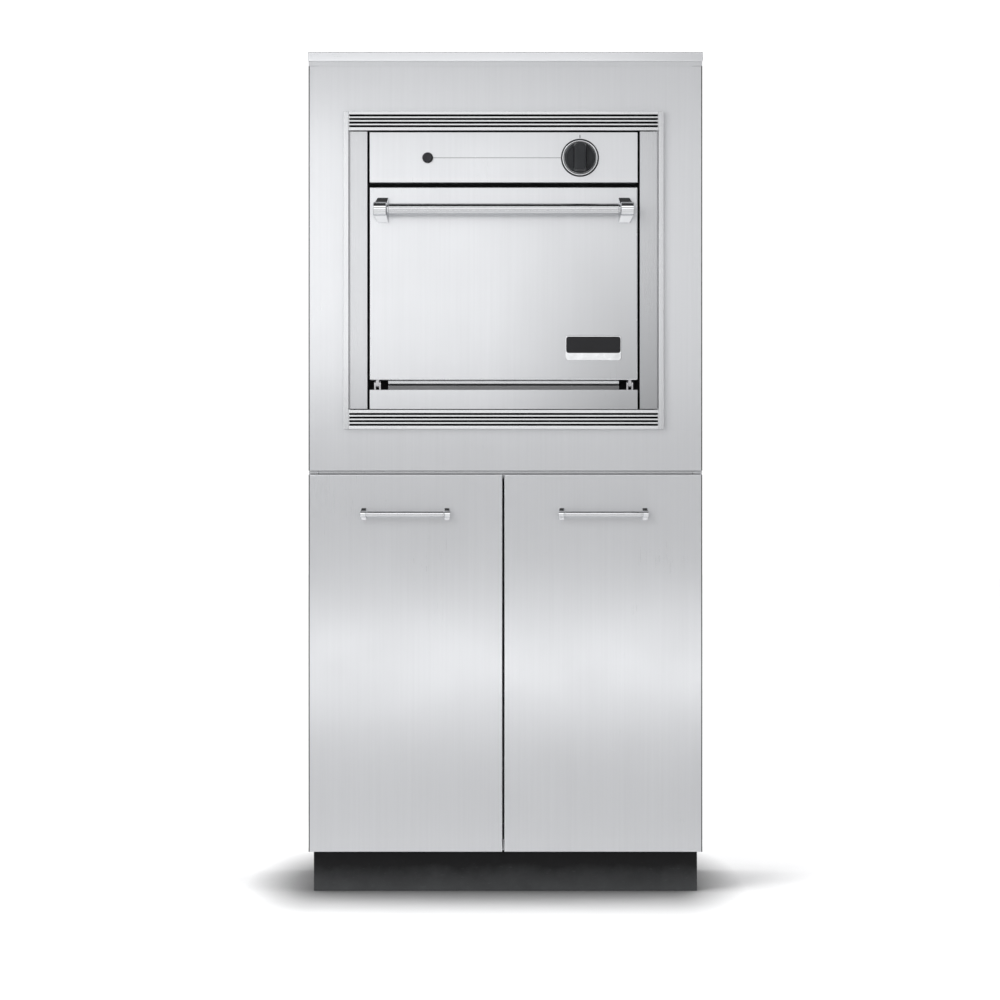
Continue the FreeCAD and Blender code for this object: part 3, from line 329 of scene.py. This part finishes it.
# the face sheets carry a painted dark line, a painted shade, down the cabinet's outer edges
FACE = brushed("steel_face", STEEL, 0.32, "Z",
               painted_edge_shade=(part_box("door_skin_right")[1].x - 2.8 * MM, FACE_Y + 2.4 * MM))
EDGE = polished("steel_edge", (0.74, 0.75, 0.765), 0.2)
STRIP = brushed("steel_strip", (0.60, 0.608, 0.62), 0.28, "Z", streak=0.05)
BAR = brushed("steel_bar", (0.66, 0.67, 0.68), 0.28, "X", streak=0.01, fine=0.03)
# darker steel for the door sill's recessed faces: a painted shade
SHADED = brushed("steel_recess", (0.2, 0.2, 0.203), 0.42, "X")
PAINT_EDGE = painted("paint_edge", (0.03, 0.03, 0.032), 0.38, worn=(0.16, 0.16, 0.165))
INK = painted("panel_ink", (0.02, 0.02, 0.021), 0.5, gloss=0.2)
BADGE_ENAMEL = painted("badge_enamel", (0.010, 0.010, 0.011), 0.34, gloss=0.16)

for node in NODES.values():
    for used in node.material_slots:
        used.material = LOOKS[used.material.name.split(".")[0]]


# ---------------------------------------------------------------- mesh helpers
def finish(name, bm, body, looks, nodes=(), smooth=40):
    """Turns the mesh into a piece that rides on a body and stands for CAD nodes."""
    mesh = bpy.data.meshes.new(name)
    bm.to_mesh(mesh)
    bm.free()
    for look in looks:
        mesh.materials.append(look)
    piece = bpy.data.objects.new(name, mesh)
    bpy.context.scene.collection.objects.link(piece)
    for face in mesh.polygons:
        face.use_smooth = True
    mesh.set_sharp_from_angle(angle=math.radians(smooth))
    piece.modifiers.new("weighted", "WEIGHTED_NORMAL").keep_sharp = True
    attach(piece, body)
    if nodes:
        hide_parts(*nodes)
    return piece


def bevel(bm, edges, width, segments=2, mark=-1):
    bmesh.ops.bevel(bm, geom=list(edges), offset=width, offset_type="OFFSET", segments=segments,
                    profile=0.5, affect="EDGES", clamp_overlap=True, material=mark)


def crisp(bm):
    """The edges where two faces meet at more than 40 degrees."""
    return [e for e in bm.edges
            if len(e.link_faces) == 2 and e.calc_face_angle() > math.radians(40)]


def rounded(node, width, segments=2, looks=None, edge=EDGE, other=None, where=None):
    """The CAD node's own shape with every fold and cut edge rounded over.

    Faces that where(middle of the face) picks out get the other finish."""
    slot = SLOT[node]
    bm = bmesh.new()
    bm.from_mesh(NODES[node].data)
    bmesh.ops.remove_doubles(bm, verts=bm.verts, dist=1e-6)
    bmesh.ops.dissolve_limit(bm, angle_limit=math.radians(0.5), verts=bm.verts, edges=bm.edges)
    for face in bm.faces:
        face.material_index = 2 if where and where(face.calc_center_median()) else 0
    bevel(bm, crisp(bm), width, segments, 1)
    finishes = [looks or LOOKS[slot], edge] + ([other] if other else [])
    finish(node + "_v", bm, BODY[node], finishes, [node])


def box_mesh(bm, low, high):
    """A box between two corners."""
    for v in bmesh.ops.create_cube(bm, size=1.0)["verts"]:
        v.co = Vector([low[i] if v.co[i] < 0 else high[i] for i in range(3)])


def thicken(piece, sheet):
    """Gives an open shell the sheet's own thickness, inwards, before its normals are weighted."""
    solid = piece.modifiers.new("sheet", "SOLIDIFY")
    solid.thickness, solid.offset, solid.use_even_offset = sheet, -1, True
    piece.modifiers.move(1, 0)


def tray(name, low, high, body, slot, nodes, open_axis, radius, sheet, looks=None, hem=0.0):
    """A folded sheet pan: a rounded box, open on one side. A hem turns its rim in by that much."""
    bm = bmesh.new()
    box_mesh(bm, low, high)
    axis, sign = open_axis
    bm.normal_update()
    bmesh.ops.delete(bm, geom=[f for f in bm.faces if f.normal[axis] * sign > 0.9],
                     context="FACES_ONLY")
    bevel(bm, crisp(bm), radius, 4, 1)
    if hem:                     # the rim turns in over the last three times the hem
        cut = (high[axis] - hem * 3) if sign > 0 else (low[axis] + hem * 3)
        normal = Vector([1.0 if i == axis else 0.0 for i in range(3)])
        place = Vector(low)
        place[axis] = cut
        bmesh.ops.bisect_plane(bm, geom=bm.verts[:] + bm.edges[:] + bm.faces[:],
                               plane_co=place, plane_no=normal)
        rim = high[axis] if sign > 0 else low[axis]
        middle = (Vector(low) + Vector(high)) / 2
        for v in bm.verts:
            if abs(v.co[axis] - rim) < 1e-6:
                for i in range(3):
                    if i != axis:
                        v.co[i] -= math.copysign(hem, v.co[i] - middle[i])
    thicken(finish(name, bm, body, [looks or LOOKS[slot], EDGE], nodes), sheet)


def lathe(bm, profile, centre, axis, steps, closed=False):
    """Rings of (radius, distance) pairs about an axis through the centre."""
    axis = Vector(axis).normalized()
    side = axis.orthogonal().normalized()
    other = axis.cross(side)
    rings = []
    for radius, out in profile:
        at = Vector(centre) + axis * out
        if radius <= 0:
            rings.append([bm.verts.new(at)])
            continue
        rings.append([bm.verts.new(at + (side * math.cos(t) + other * math.sin(t)) * radius)
                      for t in (2 * math.pi * i / steps for i in range(steps))])
    pairs = list(zip(rings, rings[1:])) + ([(rings[-1], rings[0])] if closed else [])
    made = []
    for a, b in pairs:
        for i in range(steps):
            j = (i + 1) % steps
            loop = [a[i % len(a)], a[j % len(a)], b[j % len(b)], b[i % len(b)]]
            loop = [v for k, v in enumerate(loop) if v not in loop[:k]]
            if len(loop) > 2:
                made.append(bm.faces.new(loop))
    bmesh.ops.recalc_face_normals(bm, faces=made)


def loft(bm, sections):
    """A closed solid through loops with the same number of points."""
    rings = [[bm.verts.new(p) for p in loop] for loop in sections]
    count = len(rings[0])
    made = [bm.faces.new([a[i], a[(i + 1) % count], b[(i + 1) % count], b[i]])
            for a, b in zip(rings, rings[1:]) for i in range(count)]
    made += [bm.faces.new(rings[0]), bm.faces.new(rings[-1])]
    bmesh.ops.recalc_face_normals(bm, faces=made)


def round_rect(x0, x1, z0, z1, radius, y, steps=6):
    """Points round a rectangle with round corners, in a plane of constant y."""
    points = []
    for cx, cz, start in ((x1 - radius, z1 - radius, 0), (x0 + radius, z1 - radius, 90),
                          (x0 + radius, z0 + radius, 180), (x1 - radius, z0 + radius, 270)):
        for i in range(steps + 1):
            t = math.radians(start + 90 * i / steps)
            points.append((cx + radius * math.cos(t), y, cz + radius * math.sin(t)))
    return points


def door_shell(name, low, high, body, nodes, radius, sheet, lip, lip_deep):
    """A door's folded skin, open at the back.

    Its top and bottom folds step in behind a lip, which leaves room for the hinge tabs. Each ring
    holds how far it stands in all round, how far its ends step in, and how deep it lies."""
    turns = 4
    rings = [(radius * (1 - math.sin(t)), 0, radius * (1 - math.cos(t)))
             for t in (math.radians(90 * i / turns) for i in range(turns + 1))]
    rings += [(0, 0, lip_deep), (0, lip, lip_deep + sheet), (0, lip, high.y - low.y)]
    bm = bmesh.new()
    loops = [[bm.verts.new(p) for p in round_rect(low.x + inset, high.x - inset,
                                                  low.z + inset + step, high.z - inset - step,
                                                  0.6 * MM, low.y + deep, 2)]
             for inset, step, deep in rings]
    count = len(loops[0])
    outer = max(low.x, high.x, key=abs)
    for k, (a, b) in enumerate(zip(loops, loops[1:])):
        for i in range(count):
            j = (i + 1) % count
            face = bm.faces.new([a[i], a[j], b[j], b[i]])
            # the folds down the outer edge keep the face steel, which carries the painted dark edge
            # line
            beside = any(abs(v.co.x - outer) < radius for v in face.verts)
            face.material_index = 1 if k < turns and not beside else 0
    bm.faces.new(loops[0])
    bmesh.ops.recalc_face_normals(bm, faces=bm.faces)
    if next(f for f in bm.faces if len(f.verts) == count).normal.y > 0:
        bmesh.ops.reverse_faces(bm, faces=bm.faces)
    thicken(finish(name, bm, body, [FACE, EDGE], nodes), sheet)


BODY = {name: node["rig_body"] for name, node in NODES.items()}
SLOT = {name: next(slot for slot, look in LOOKS.items() if look == node.material_slots[0].material)
        for name, node in NODES.items()}

# ---------------------------------------------------------------- cabinet
STRIP_WIDE = 12 * MM            # the side trims' outer strip
SHEET = 1.2 * MM
LIP, LIP_DEEP = 4 * MM, 6 * MM  # how far a door's end folds step in, and how deep behind the face
for side in ("left", "right"):
    skin = f"door_skin_{side}"
    low, high, _ = span(skin)
    door_shell(f"door_front_{side}", low, high, f"{side}_door", [skin],
               2.2 * MM, SHEET, LIP, LIP_DEEP)
    rounded(f"door_pan_{side}", 0.5 * MM)
    rounded(f"side_panel_{side}", 0.5 * MM)
    trim = f"side_trim_{side}"
    low, high, _ = span(trim)
    outer = low.x if side == "left" else high.x
    rounded(trim, 0.5 * MM, other=STRIP, where=lambda at: abs(at.x - outer) < STRIP_WIDE)

low, high, _ = span("top_cap")
tray("top_cap_v", low, high, "cabinet", SLOT["top_cap"], ["top_cap"], (2, -1), 1.4 * MM, SHEET,
     hem=1.6 * MM)
rounded("surround_panel", 0.5 * MM, looks=FACE, edge=FACE)
for node, width in (("top_rail", 0.4), ("mid_rail", 0.4), ("back_panel", 0.3),
                    ("bottom_deck", 0.4)):
    rounded(node, width * MM)
for node in ("louvre_top", "louvre_bottom"):
    low, high, _ = span(node)
    # the slot walls behind the louvre's front take black enamel, a painted shade inside the slots
    rounded(node, 0.5 * MM, looks=BAR, other=LOOKS["black_enamel"],
            where=lambda at: at.y > low.y + 1 * MM and low.z + 3 * MM < at.z < high.z - 3 * MM)
    bm = bmesh.new()            # a black screen behind the slots, a painted shade that darkens them
    box_mesh(bm, (low.x + 1 * MM, high.y - 1.6 * MM, low.z + 5 * MM),
             (high.x - 1 * MM, high.y - 0.4 * MM, high.z - 5 * MM))
    bevel(bm, crisp(bm), 0.3 * MM)
    finish(node + "_shade_screen", bm, "cabinet", [LOOKS["black_enamel"]])
rounded("plinth", 0.8 * MM, edge=PAINT_EDGE)

# ---------------------------------------------------------------- oven front
rounded("control_panel", 0.8 * MM, 3)
rounded("kick_strip", 0.8 * MM, 3, looks=FRONT)
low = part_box("door_sill")[0]
# the sill's recessed faces take the darker steel, a painted shade
rounded("door_sill", 0.5 * MM, looks=BAR, other=SHADED, where=lambda at: at.y > low.y + 1 * MM)
low, high, _ = span("oven_door_skin")
tray("oven_door_front", low, high, "oven_door", SLOT["oven_door_skin"], ["oven_door_skin"], (1, 1),
     2.4 * MM, 1.5 * MM, looks=FRONT)
rounded("oven_door_liner", 0.8 * MM, 3)


# ---------------------------------------------------------------- handles
def both_ends(half, length):
    """A turned profile whose second end mirrors its first, for a part of this length."""
    return half + [(radius, length - out) for radius, out in reversed(half)]


def bracket_mesh(bm, x0, x1, foot_y, axis_y, z, foot_half, hub, lean_low, lean_high, rim):
    """A post that flares at its foot on the door and ends in a round sleeve for the bar.

    The two leans are how far each side of the foot stands in from the sleeve's end."""
    flat, neck = 0.06, hub * 0.88               # the foot's plain edge, the neck's half height
    flare_starts, flare_long = 0.12, 0.25       # along the post behind that edge
    steps = 8
    stations = [(0, 0)] + [(flat + (1 - flat) * i / steps, i / steps) for i in range(steps + 1)]
    sections = []
    for out, fall in stations:
        spread = 1 - min(1, max(0, (fall - flare_starts) / flare_long))
        half = neck + (foot_half - neck) * spread
        sections.append(round_rect(x0 + lean_low * spread, x1 - lean_high * spread, z - half, z + half,
                                   min(2.2 * MM, half * 0.3), foot_y - (foot_y - axis_y) * out, 3))
    loft(bm, sections)
    end = [(0, 0), (hub - rim * 1.6, 0), (hub - rim, rim * 0.3), (hub, rim)]
    lathe(bm, both_ends(end, x1 - x0), (x0, axis_y, z), (1, 0, 0), 48)


def bar_mesh(bm, x0, x1, y, z, radius):
    """A round bar with a shallow turned neck at each end."""
    step = radius * 0.16
    end = [(0, 0), (radius - step, 0), (radius - step, 3 * MM), (radius - step * 0.3, 3.6 * MM),
           (radius, 4.6 * MM)]
    lathe(bm, both_ends(end, x1 - x0), (x0, y, z), (1, 0, 0), 64)


def handle(name, bar, posts, body, foot_y, wide, hub, lean_out, lean_in):
    """A bar and its two brackets.

    A foot stands in from its sleeve's outer end by lean_out, and past its inner end by lean_in."""
    low, high, middle = span(bar)
    bm = bmesh.new()
    bar_mesh(bm, low.x, high.x, middle.y, middle.z, (high.z - low.z) / 2)
    finish(name + "_bar", bm, body, [LOOKS[SLOT[bar]]], [bar])
    low, high, _ = span(posts)
    foot_half, rim = (high.z - low.z) / 2, 1.2 * MM
    bm = bmesh.new()
    bracket_mesh(bm, low.x, low.x + wide, foot_y, middle.y, middle.z, foot_half, hub,
                 lean_out, -lean_in, rim)
    bracket_mesh(bm, high.x - wide, high.x, foot_y, middle.y, middle.z, foot_half, hub,
                 -lean_in, lean_out, rim)
    finish(name + "_brackets", bm, body, [LOOKS[SLOT[posts]]], [posts], smooth=30)


handle("grab_handle", "oven_handle_bar", "oven_handle_brackets", "oven_door",
       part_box("oven_door_skin")[0].y, 30 * MM, 16 * MM, 8 * MM, 4.5 * MM)
for side in ("left", "right"):
    handle(f"pull_{side}", f"pull_bar_{side}", f"pull_posts_{side}", f"{side}_door", FACE_Y,
           14 * MM, 7.6 * MM, 2 * MM, 1 * MM)


# ---------------------------------------------------------------- badge, panel marks
def plaque(outline, radius, layers):
    """A low plate: each layer is how far it stands in from the outline, and its y."""
    x0, x1, z0, z1 = outline
    bm = bmesh.new()
    loft(bm, [round_rect(x0 + inset, x1 - inset, z0 + inset, z1 - inset, radius - inset, y)
              for inset, y in layers])
    return bm


low, high, _ = span("badge_plate")
front = low.y
bm = plaque((low.x, high.x, low.z, high.z), 8 * MM,
            ((0, high.y), (0, front + 0.9 * MM), (0.5 * MM, front + 0.2 * MM), (1.2 * MM, front)))
finish("badge", bm, "oven_door", [LOOKS["badge_chrome"]], ["badge_plate"])
FIELD_HIGH, FIELD_LOW = 2.5 * MM, 40.5 * MM     # the dark field's edges, down from the plate's top
bm = plaque((low.x + 2 * MM, high.x - 2 * MM, high.z - FIELD_LOW, high.z - FIELD_HIGH), 6 * MM,
            ((0, front + 0.5 * MM), (0, front - 0.15 * MM), (0.4 * MM, front - 0.3 * MM)))
finish("badge_field", bm, "oven_door", [BADGE_ENAMEL])

knob_low, knob_high, knob_mid = span("knob")
LINE_END = 44.5 * MM            # the line stops short of the knob's middle by this
TICK = (45.5 * MM, 53 * MM)     # the tick's ends, above the knob's middle
line_half, tick_half = 0.5 * MM, 0.9 * MM
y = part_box("control_panel")[0].y
bm = bmesh.new()
for x0, x1, z0, z1 in (
        (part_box("button_cap")[1].x + 2 * MM, knob_mid.x - LINE_END, knob_mid.z - line_half,
         knob_mid.z + line_half),
        (knob_mid.x - tick_half, knob_mid.x + tick_half, knob_mid.z + TICK[0],
         knob_mid.z + TICK[1])):
    loft(bm, [round_rect(x0, x1, z0, z1, 0.3 * MM, y + 0.3 * MM, 2),
              round_rect(x0, x1, z0, z1, 0.3 * MM, y - 0.08 * MM, 2)])
finish("panel_marks", bm, "cabinet", [INK])

# ---------------------------------------------------------------- knob and button
FORWARD = (0, -1, 0)
# (distance out, half width, half height, corner radius) along the grip, in millimetres
GRIP = ((7, 16.2, 32.6, 7), (13, 15.4, 32.0, 7), (22, 13.8, 31.4, 6.5), (30, 12.7, 30.6, 6),
        (32.8, 11.8, 29.8, 5.2), (33.7, 10.6, 28.6, 4.2), (34, 9.0, 27.0, 3.0))
rim = (knob_high.x - knob_low.x) / 2 + 1 * MM
bm = bmesh.new()
skirt = [(0, 0), (rim - 1.5 * MM, 0), (rim, 1.2 * MM), (rim, 4 * MM), (rim - 1 * MM, 6.5 * MM),
         (rim - 3 * MM, 9 * MM), (rim - 5 * MM, 10 * MM), (rim - 6 * MM, 10.2 * MM),
         (rim - 6.6 * MM, 9.6 * MM), (rim - 8 * MM, 9.4 * MM), (0, 9.4 * MM)]
lathe(bm, skirt, (knob_mid.x, knob_high.y, knob_mid.z), FORWARD, 96)
loft(bm, [round_rect(knob_mid.x - wide * MM, knob_mid.x + wide * MM, knob_mid.z - tall * MM,
                     knob_mid.z + tall * MM, radius * MM, knob_high.y - out * MM)
          for out, wide, tall, radius in GRIP])
finish("knob_v", bm, "control_knob", [LOOKS["knob_black"]], ["knob"], smooth=50)

low, high, middle = span("knob_bezel")
outer, inner = (high.x - low.x) / 2, 37 * MM
bm = bmesh.new()
ring = [(inner, 0), (outer - 2.6 * MM, 0), (outer - 2.6 * MM, 3 * MM), (outer - 3 * MM, 3.7 * MM),
        (outer - 3.8 * MM, 4 * MM), (outer - 5.2 * MM, 4 * MM), (inner + 0.5 * MM, 3.4 * MM),
        (inner, 2.4 * MM)]
lathe(bm, ring, (middle.x, high.y, middle.z), FORWARD, 128, closed=True)
finish("bezel", bm, "cabinet", [LOOKS["chrome_trim"]], ["knob_bezel"], smooth=70)
# a black ring peeking out under the bezel's rim: a painted shade along the bezel's outer edge
bm = bmesh.new()
shade_ring = [(outer - 2.5 * MM, 0.1 * MM), (outer + 0.6 * MM, 0.1 * MM), (outer + 0.6 * MM, 1.0 * MM),
          (outer + 0.1 * MM, 1.6 * MM), (outer - 1.9 * MM, 2.2 * MM), (outer - 2.5 * MM, 1.9 * MM)]
lathe(bm, shade_ring, (middle.x, high.y, middle.z), FORWARD, 128, closed=True)
finish("bezel_shade_ring", bm, "cabinet", [LOOKS["knob_black"]], smooth=50)

low, high, middle = span("button_cap")
rim, long = (high.x - low.x) / 2 - 0.3 * MM, high.y - low.y
bm = bmesh.new()
stem = [(0, 0), (4 * MM, 0), (4 * MM, long - 5.4 * MM), (rim, long - 5.4 * MM),
        (rim, long - 1.6 * MM), (rim - 0.5 * MM, long - 0.7 * MM), (rim - 1.6 * MM, long - 0.1 * MM),
        (rim - 2.6 * MM, long), (rim - 4 * MM, long - 0.5 * MM), (rim - 6 * MM, long - 0.9 * MM),
        (0, long - 1.1 * MM)]
lathe(bm, stem, (middle.x, high.y, middle.z), FORWARD, 64)
finish("button_v", bm, "igniter_button", [LOOKS["button_black"]],
       ["button_cap"], smooth=50)


# ---------------------------------------------------------------- back screws
def screw(bm, x, y, z, radius, tall):
    """A pan head with a round recess, facing backwards."""
    profile = [(radius, 0), (radius, tall * 0.35), (radius * 0.92, tall * 0.7),
               (radius * 0.75, tall * 0.95), (radius * 0.5, tall), (radius * 0.42, tall * 0.4),
               (0, tall * 0.4)]
    lathe(bm, profile, (x, y, z), (0, 1, 0), 24)


low, high, _ = span("back_panel")
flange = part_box("side_panel_left")[1].x
bm = bmesh.new()
HEAD = (4.2 * MM, 1.4 * MM)     # a screw head's radius and height
inset, rows, columns = 12 * MM, 7, 4
places = []
for i in range(rows):
    z = low.z + inset * 2 + (high.z - low.z - inset * 4) * i / (rows - 1)
    places += [(flange + inset, z), (-flange - inset, z)]
for i in range(1, columns + 1):
    x = low.x + (high.x - low.x) * i / (columns + 1)
    places += [(x, low.z + inset * 2), (x, high.z - inset * 2)]
for x, z in places:
    screw(bm, x, high.y - 0.1 * MM, z, *HEAD)
finish("back_screws", bm, "cabinet", [LOOKS["hinge_steel"]])

# a small blank plate, across the back from the gas inlet
plate_x, plate_z = 20 * MM - span("regulator")[2].x, 330 * MM
half_wide, half_high, corner = 46 * MM, 30 * MM, 5 * MM
bm = bmesh.new()
loft(bm, [round_rect(plate_x - half_wide, plate_x + half_wide, plate_z - half_high,
                     plate_z + half_high, 4 * MM, y) for y in (high.y - 0.2 * MM, high.y + 0.7 * MM)])
for dx in (corner - half_wide, half_wide - corner):
    for dz in (corner - half_high, half_high - corner):
        screw(bm, plate_x + dx, high.y + 0.6 * MM, plate_z + dz, 2 * MM, 0.7 * MM)
finish("data_plate", bm, "cabinet", [LOOKS["gas_aluminium"]])

# ---------------------------------------------------------------- door stop seen in the gap
split = (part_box("door_skin_left")[1].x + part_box("door_skin_right")[0].x) / 2
pan_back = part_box("door_pan_left")[1].y
STOP_LOW, STOP_HIGH, stop_half = 104 * MM, 123 * MM, 1.4 * MM
bm = bmesh.new()
box_mesh(bm, (split - stop_half, pan_back + 0.6 * MM, STOP_LOW),
         (split + stop_half, pan_back + 3.6 * MM, STOP_HIGH))
bevel(bm, crisp(bm), 0.6 * MM, 3)
finish("door_stop", bm, "cabinet", [STRIP])

# ---------------------------------------------------------------- floor
floor_mat = material("studio_floor", Roughness=0.7)


def vector(operation, *inputs):
    """A sum on vectors, in the floor's material."""
    return add(floor_mat, "VectorMath", dict(enumerate(inputs)), operation=operation).outputs


speck = pattern(floor_mat, (6, 6, 6), 4)
# ambient occlusion darkens the floor's colour around the cabinet: a painted shade
near = add(floor_mat, "AmbientOcclusion", {"Distance": 0.5}, samples=8).outputs["AO"]
place = add(floor_mat, "TexCoord").outputs["Object"]
# the painted contact shadow is darkest under the plinth and ends one fade outside its core
_, PLINTH_HIGH, PLINTH_MIDDLE = span("plinth")
FADE = (0.185, 0.92)            # how far the contact shadow reaches sideways, and forwards
CORE_IN = (0.04, 0.08)          # how far its core stands in from the plinth's sides, and front
CORE_LEFT = 0.025               # how far its middle lies to the left of the plinth's
core = (PLINTH_HIGH.x - CORE_IN[0], PLINTH_HIGH.y - PLINTH_MIDDLE.y - CORE_IN[1], 0)
offset = vector("SUBTRACT", place, (PLINTH_MIDDLE.x - CORE_LEFT, PLINTH_MIDDLE.y, 0))[0]
outside = vector("SUBTRACT", vector("ABSOLUTE", offset)[0], core)[0]
outside = vector("MAXIMUM", outside, (0, 0, 0))[0]
apart = vector("LENGTH", vector("DIVIDE", outside, (*FADE, 1))[0])["Value"]
contact = scaled(floor_mat, apart, 0.16, 1.0, 0.0, 1.0)
softened = scaled(floor_mat, near, 0.6, 0.98, 0.45, 0.95)
open_air = plus(floor_mat, times(floor_mat, contact, softened), scaled(floor_mat, speck, 0, 0.02))
pale = ramp(floor_mat, open_air, [(0.0, (0.06, 0.06, 0.0605)), (0.3, (0.24, 0.24, 0.242)),
                                  (0.96, (0.88, 0.88, 0.885))])
# what the steel mirrors of the floor is paler near the cabinet than far off
mirrored = ramp(floor_mat, scaled(floor_mat, vector("LENGTH", place)["Value"], 0, 1, 0.5, 1.7),
                [(0.0, (0.74, 0.74, 0.745)), (1.0, (0.40, 0.40, 0.403))])
glossy = add(floor_mat, "LightPath").outputs["Is Glossy Ray"]
feed(floor_mat, "Base Color", mix(floor_mat, glossy, pale, mirrored))
bm = bmesh.new()
bmesh.ops.create_circle(bm, cap_ends=True, radius=40, segments=64)
mesh = bpy.data.meshes.new("studio_floor")
bm.to_mesh(mesh)
bm.free()
mesh.materials.append(floor_mat)
floor = bpy.data.objects.new("studio_floor", mesh)
bpy.context.scene.collection.objects.link(floor)
floor.location.z = CAD_BOX[0].z


# ---------------------------------------------------------------- lamps
def lamp(name, kind, location, aim, power, **settings):
    """A lamp that lights the scene but isn't seen in the picture itself."""
    data = bpy.data.lights.new(name, kind)
    data.energy = power
    for key, value in settings.items():
        setattr(data, key, value)
    thing = bpy.data.objects.new(name, data)
    bpy.context.scene.collection.objects.link(thing)
    thing.location = location
    thing.rotation_euler = (Vector(aim) - Vector(location)).to_track_quat("-Z", "Y").to_euler()
    thing.visible_camera = False
    return thing


STRIP_AWAY = 1.6                # how far the strip lamps stand from the cabinet
lamp("strip_low", "AREA", (0.05, FACE_Y - STRIP_AWAY, 0.47), (0.05, 0, 0.47), 2.1,
     shape="RECTANGLE", size=2.4, size_y=0.26)
lamp("strip_high", "AREA", (-0.65, FACE_Y - STRIP_AWAY, 1.58), (-0.3, 0, 1.54), 4.2,
     shape="RECTANGLE", size=2.1, size_y=0.78)
for side, x in (("left", CAD_BOX[0].x - STRIP_AWAY), ("right", CAD_BOX[1].x + STRIP_AWAY)):
    lamp("strip_" + side, "AREA", (x, 0.05, 1.15), (0, 0.05, 1.15), 2.4, shape="RECTANGLE",
         size=1.8, size_y=0.3)
lamp("strip_back", "AREA", (0, CAD_BOX[1].y + STRIP_AWAY, 1.3), (0, 0, 1.3), 2.6,
     shape="RECTANGLE", size=2.2, size_y=0.3)
sun = lamp("overhead", "SUN", (0, 0, 5), (0, 0, 0), 1.75, angle=math.radians(50))
key = lamp("key", "AREA", (-1.7, FACE_Y - 3.2, 2.7), (0, 0, 1.2), 120, shape="RECTANGLE",
           size=1.7, size_y=1.7)
sun.visible_glossy = key.visible_glossy = False

# ---------------------------------------------------------------- world
world = bpy.data.worlds.new("studio")
bpy.context.scene.world = world
world.use_nodes = True
world.node_tree.nodes.clear()


def levels(value, stops):
    """Grey light levels along a value that runs from 0 to 1."""
    return ramp(world, value, [(place, (level,) * 3) for place, level in stops])


# what the steel mirrors: an even horizon, a bright band high in front, darkness overhead and
# high behind, and more light far out to both sides
x, y, z = add(world, "SeparateXYZ", {0: add(world, "TexCoord").outputs["Generated"]}).outputs
upward, rightward = scaled(world, z, 0, 1, -1, 1), scaled(world, x, 0, 1, -1, 1)
band = levels(upward, ((0.0, 0.85), (0.3, 0.8), (0.43, 0.58), (0.56, 0.64), (0.75, 0.66),
                       (0.78, 2.2), (0.84, 2.2), (0.87, 0.06)))
behind = plus(world, times(world, z, 0.8), times(world, y, 0.6))
band = times(world, band, levels(behind, ((0.78, 1.0), (0.83, 0.05))))
aside = levels(rightward, ((0.0, 1.45), (0.09, 1.45), (0.14, 1.2), (0.5, 1.0), (0.86, 0.8),
                           (0.91, 1.45), (1.0, 1.45)))
band = times(world, band, aside)
studio = add(world, "Background", {"Color": (1.0, 1.0, 1.01, 1), "Strength": band})
plain = add(world, "Background", {"Color": (0.7, 0.7, 0.7, 1)})
white = add(world, "Background", {"Color": (1.1, 1.1, 1.1, 1)})
rays = add(world, "LightPath")
soft = add(world, "MixShader", {0: rays.outputs["Is Glossy Ray"], 1: plain.outputs[0],
                                2: studio.outputs[0]})
seen = add(world, "MixShader", {0: rays.outputs["Is Camera Ray"], 1: soft.outputs[0],
                                2: white.outputs[0]})
add(world, "OutputWorld", {"Surface": seen.outputs[0]})
bpy.context.scene.view_settings.view_transform = "Standard"
